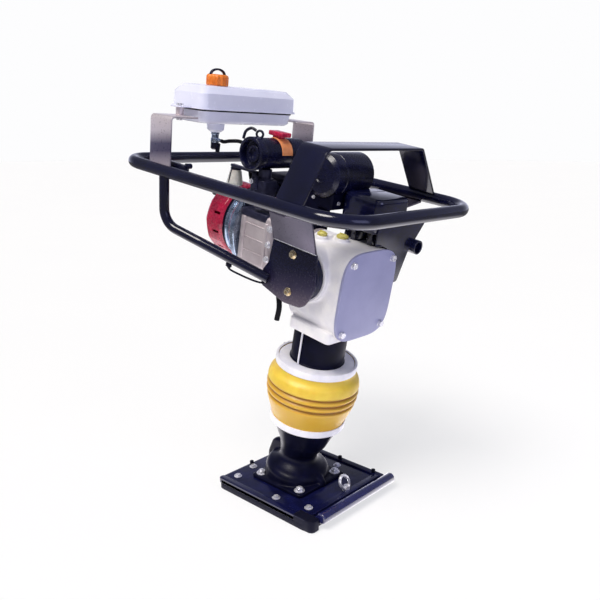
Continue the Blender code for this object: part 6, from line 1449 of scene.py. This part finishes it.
make("cock_arm", arm, black_plastic, "cock_lever", ["fuel_cock_lever"])
start = on_tank(BARB) + (0.0116, 0, 0)
path = [start, start + (0.010, 0, 0), *HOSE_PATH]
hose_ends = ("handle", "upper_unit", tuple(RAM @ Vector(start)), tuple(RAM @ Vector(HOSE_PATH[-1])))
fuel_line = [hose(path, HOSE_RADIUS, HOSE_BORE)]
make("fuel_line", fuel_line, hose_rubber, None, ["fuel_hose"], blend=hose_ends)


# Throttle. A long, low moulded clamp on the near rail with a short lever and a round knob.
THROTTLE_X = -0.290
THROTTLE_Y = -0.1938
THROTTLE_CLAMP = (0.060, 0.0145, 0.030)

z = rail_height(THROTTLE_X)
clamp = block((THROTTLE_X - 0.022, -0.203, z + 0.004), THROTTLE_CLAMP, 0.003)
make("throttle_clamp", [clamp], black_plastic, "handle", ["throttle_bracket"])
arm = [(-0.007, -0.007), (0.007, -0.007), (0.006, 0.014), (-0.006, 0.014)]
arm = rounded(arm, [0.006, 0.006, 0.005, 0.005], 8)
lever = [at(prism(arm, -0.002, 0.002, 0.0006), (THROTTLE_X, THROTTLE_Y, z + 0.008), FACING_NEAR)]
knob = at(rod(0.006, -0.002, 0.012, 0.002), (THROTTLE_X, THROTTLE_Y, z + 0.016), FACING_FAR)
make("throttle_arm", lever + [knob], black_plastic, "throttle", ["throttle_lever"])


# Starter grip. A moulded T handle with its rope, which winds on a pulley inside the red cover.
GRIP_MIDDLE, GRIP_SIZE, GRIP_NECK = (-0.367, 0.0, ROPE_HEIGHT), (0.024, 0.088, 0.020), -0.361
ROPE_RUN, ROPE_RADIUS = (-0.3311, -0.3486), 0.0025

grip = [block(GRIP_MIDDLE, GRIP_SIZE, 0.006, 0.008)]
grip.append(at(rod(0.009, 0.0, 0.012, 0.001), (GRIP_NECK, 0, ROPE_HEIGHT), FACING_FRONT))
make("grip_moulding", grip, black_plastic, "starter_grip", ["starter_grip"])


def laid_rope(start, end, radius, lay=0.006):
    """Three-strand rope: the section is a rounded trefoil that turns once a lay."""
    t = full_turn(30)
    rows = []
    for u in np.linspace(start, end, 40):
        turn = 2 * math.pi * u / lay
        across = radius * (0.86 + 0.14 * np.abs(np.cos(1.5 * t)))
        rows.append(np.column_stack([u + 0 * t, across * np.cos(t + turn), across * np.sin(t + turn)]))
    return skin(np.array(rows))


# Starter rope: polyester laid in three strands, gone grey.
starter_cord = finish("grey polyester rope", "#4c4c50", "#2c2c30", (0.6, 0.8), 0.0008, 0.0002)
rope = at(laid_rope(*ROPE_RUN, ROPE_RADIUS), (0, 0, ROPE_HEIGHT))
rope_ends = ("upper_unit", "starter_grip", *(spot_on_ram(ROPE_HEIGHT, u) for u in ROPE_RUN))
make("rope_stub", [rope], starter_cord, None, ["starter_rope"], blend=rope_ends)
keep(["starter_pulley"], black_plastic)
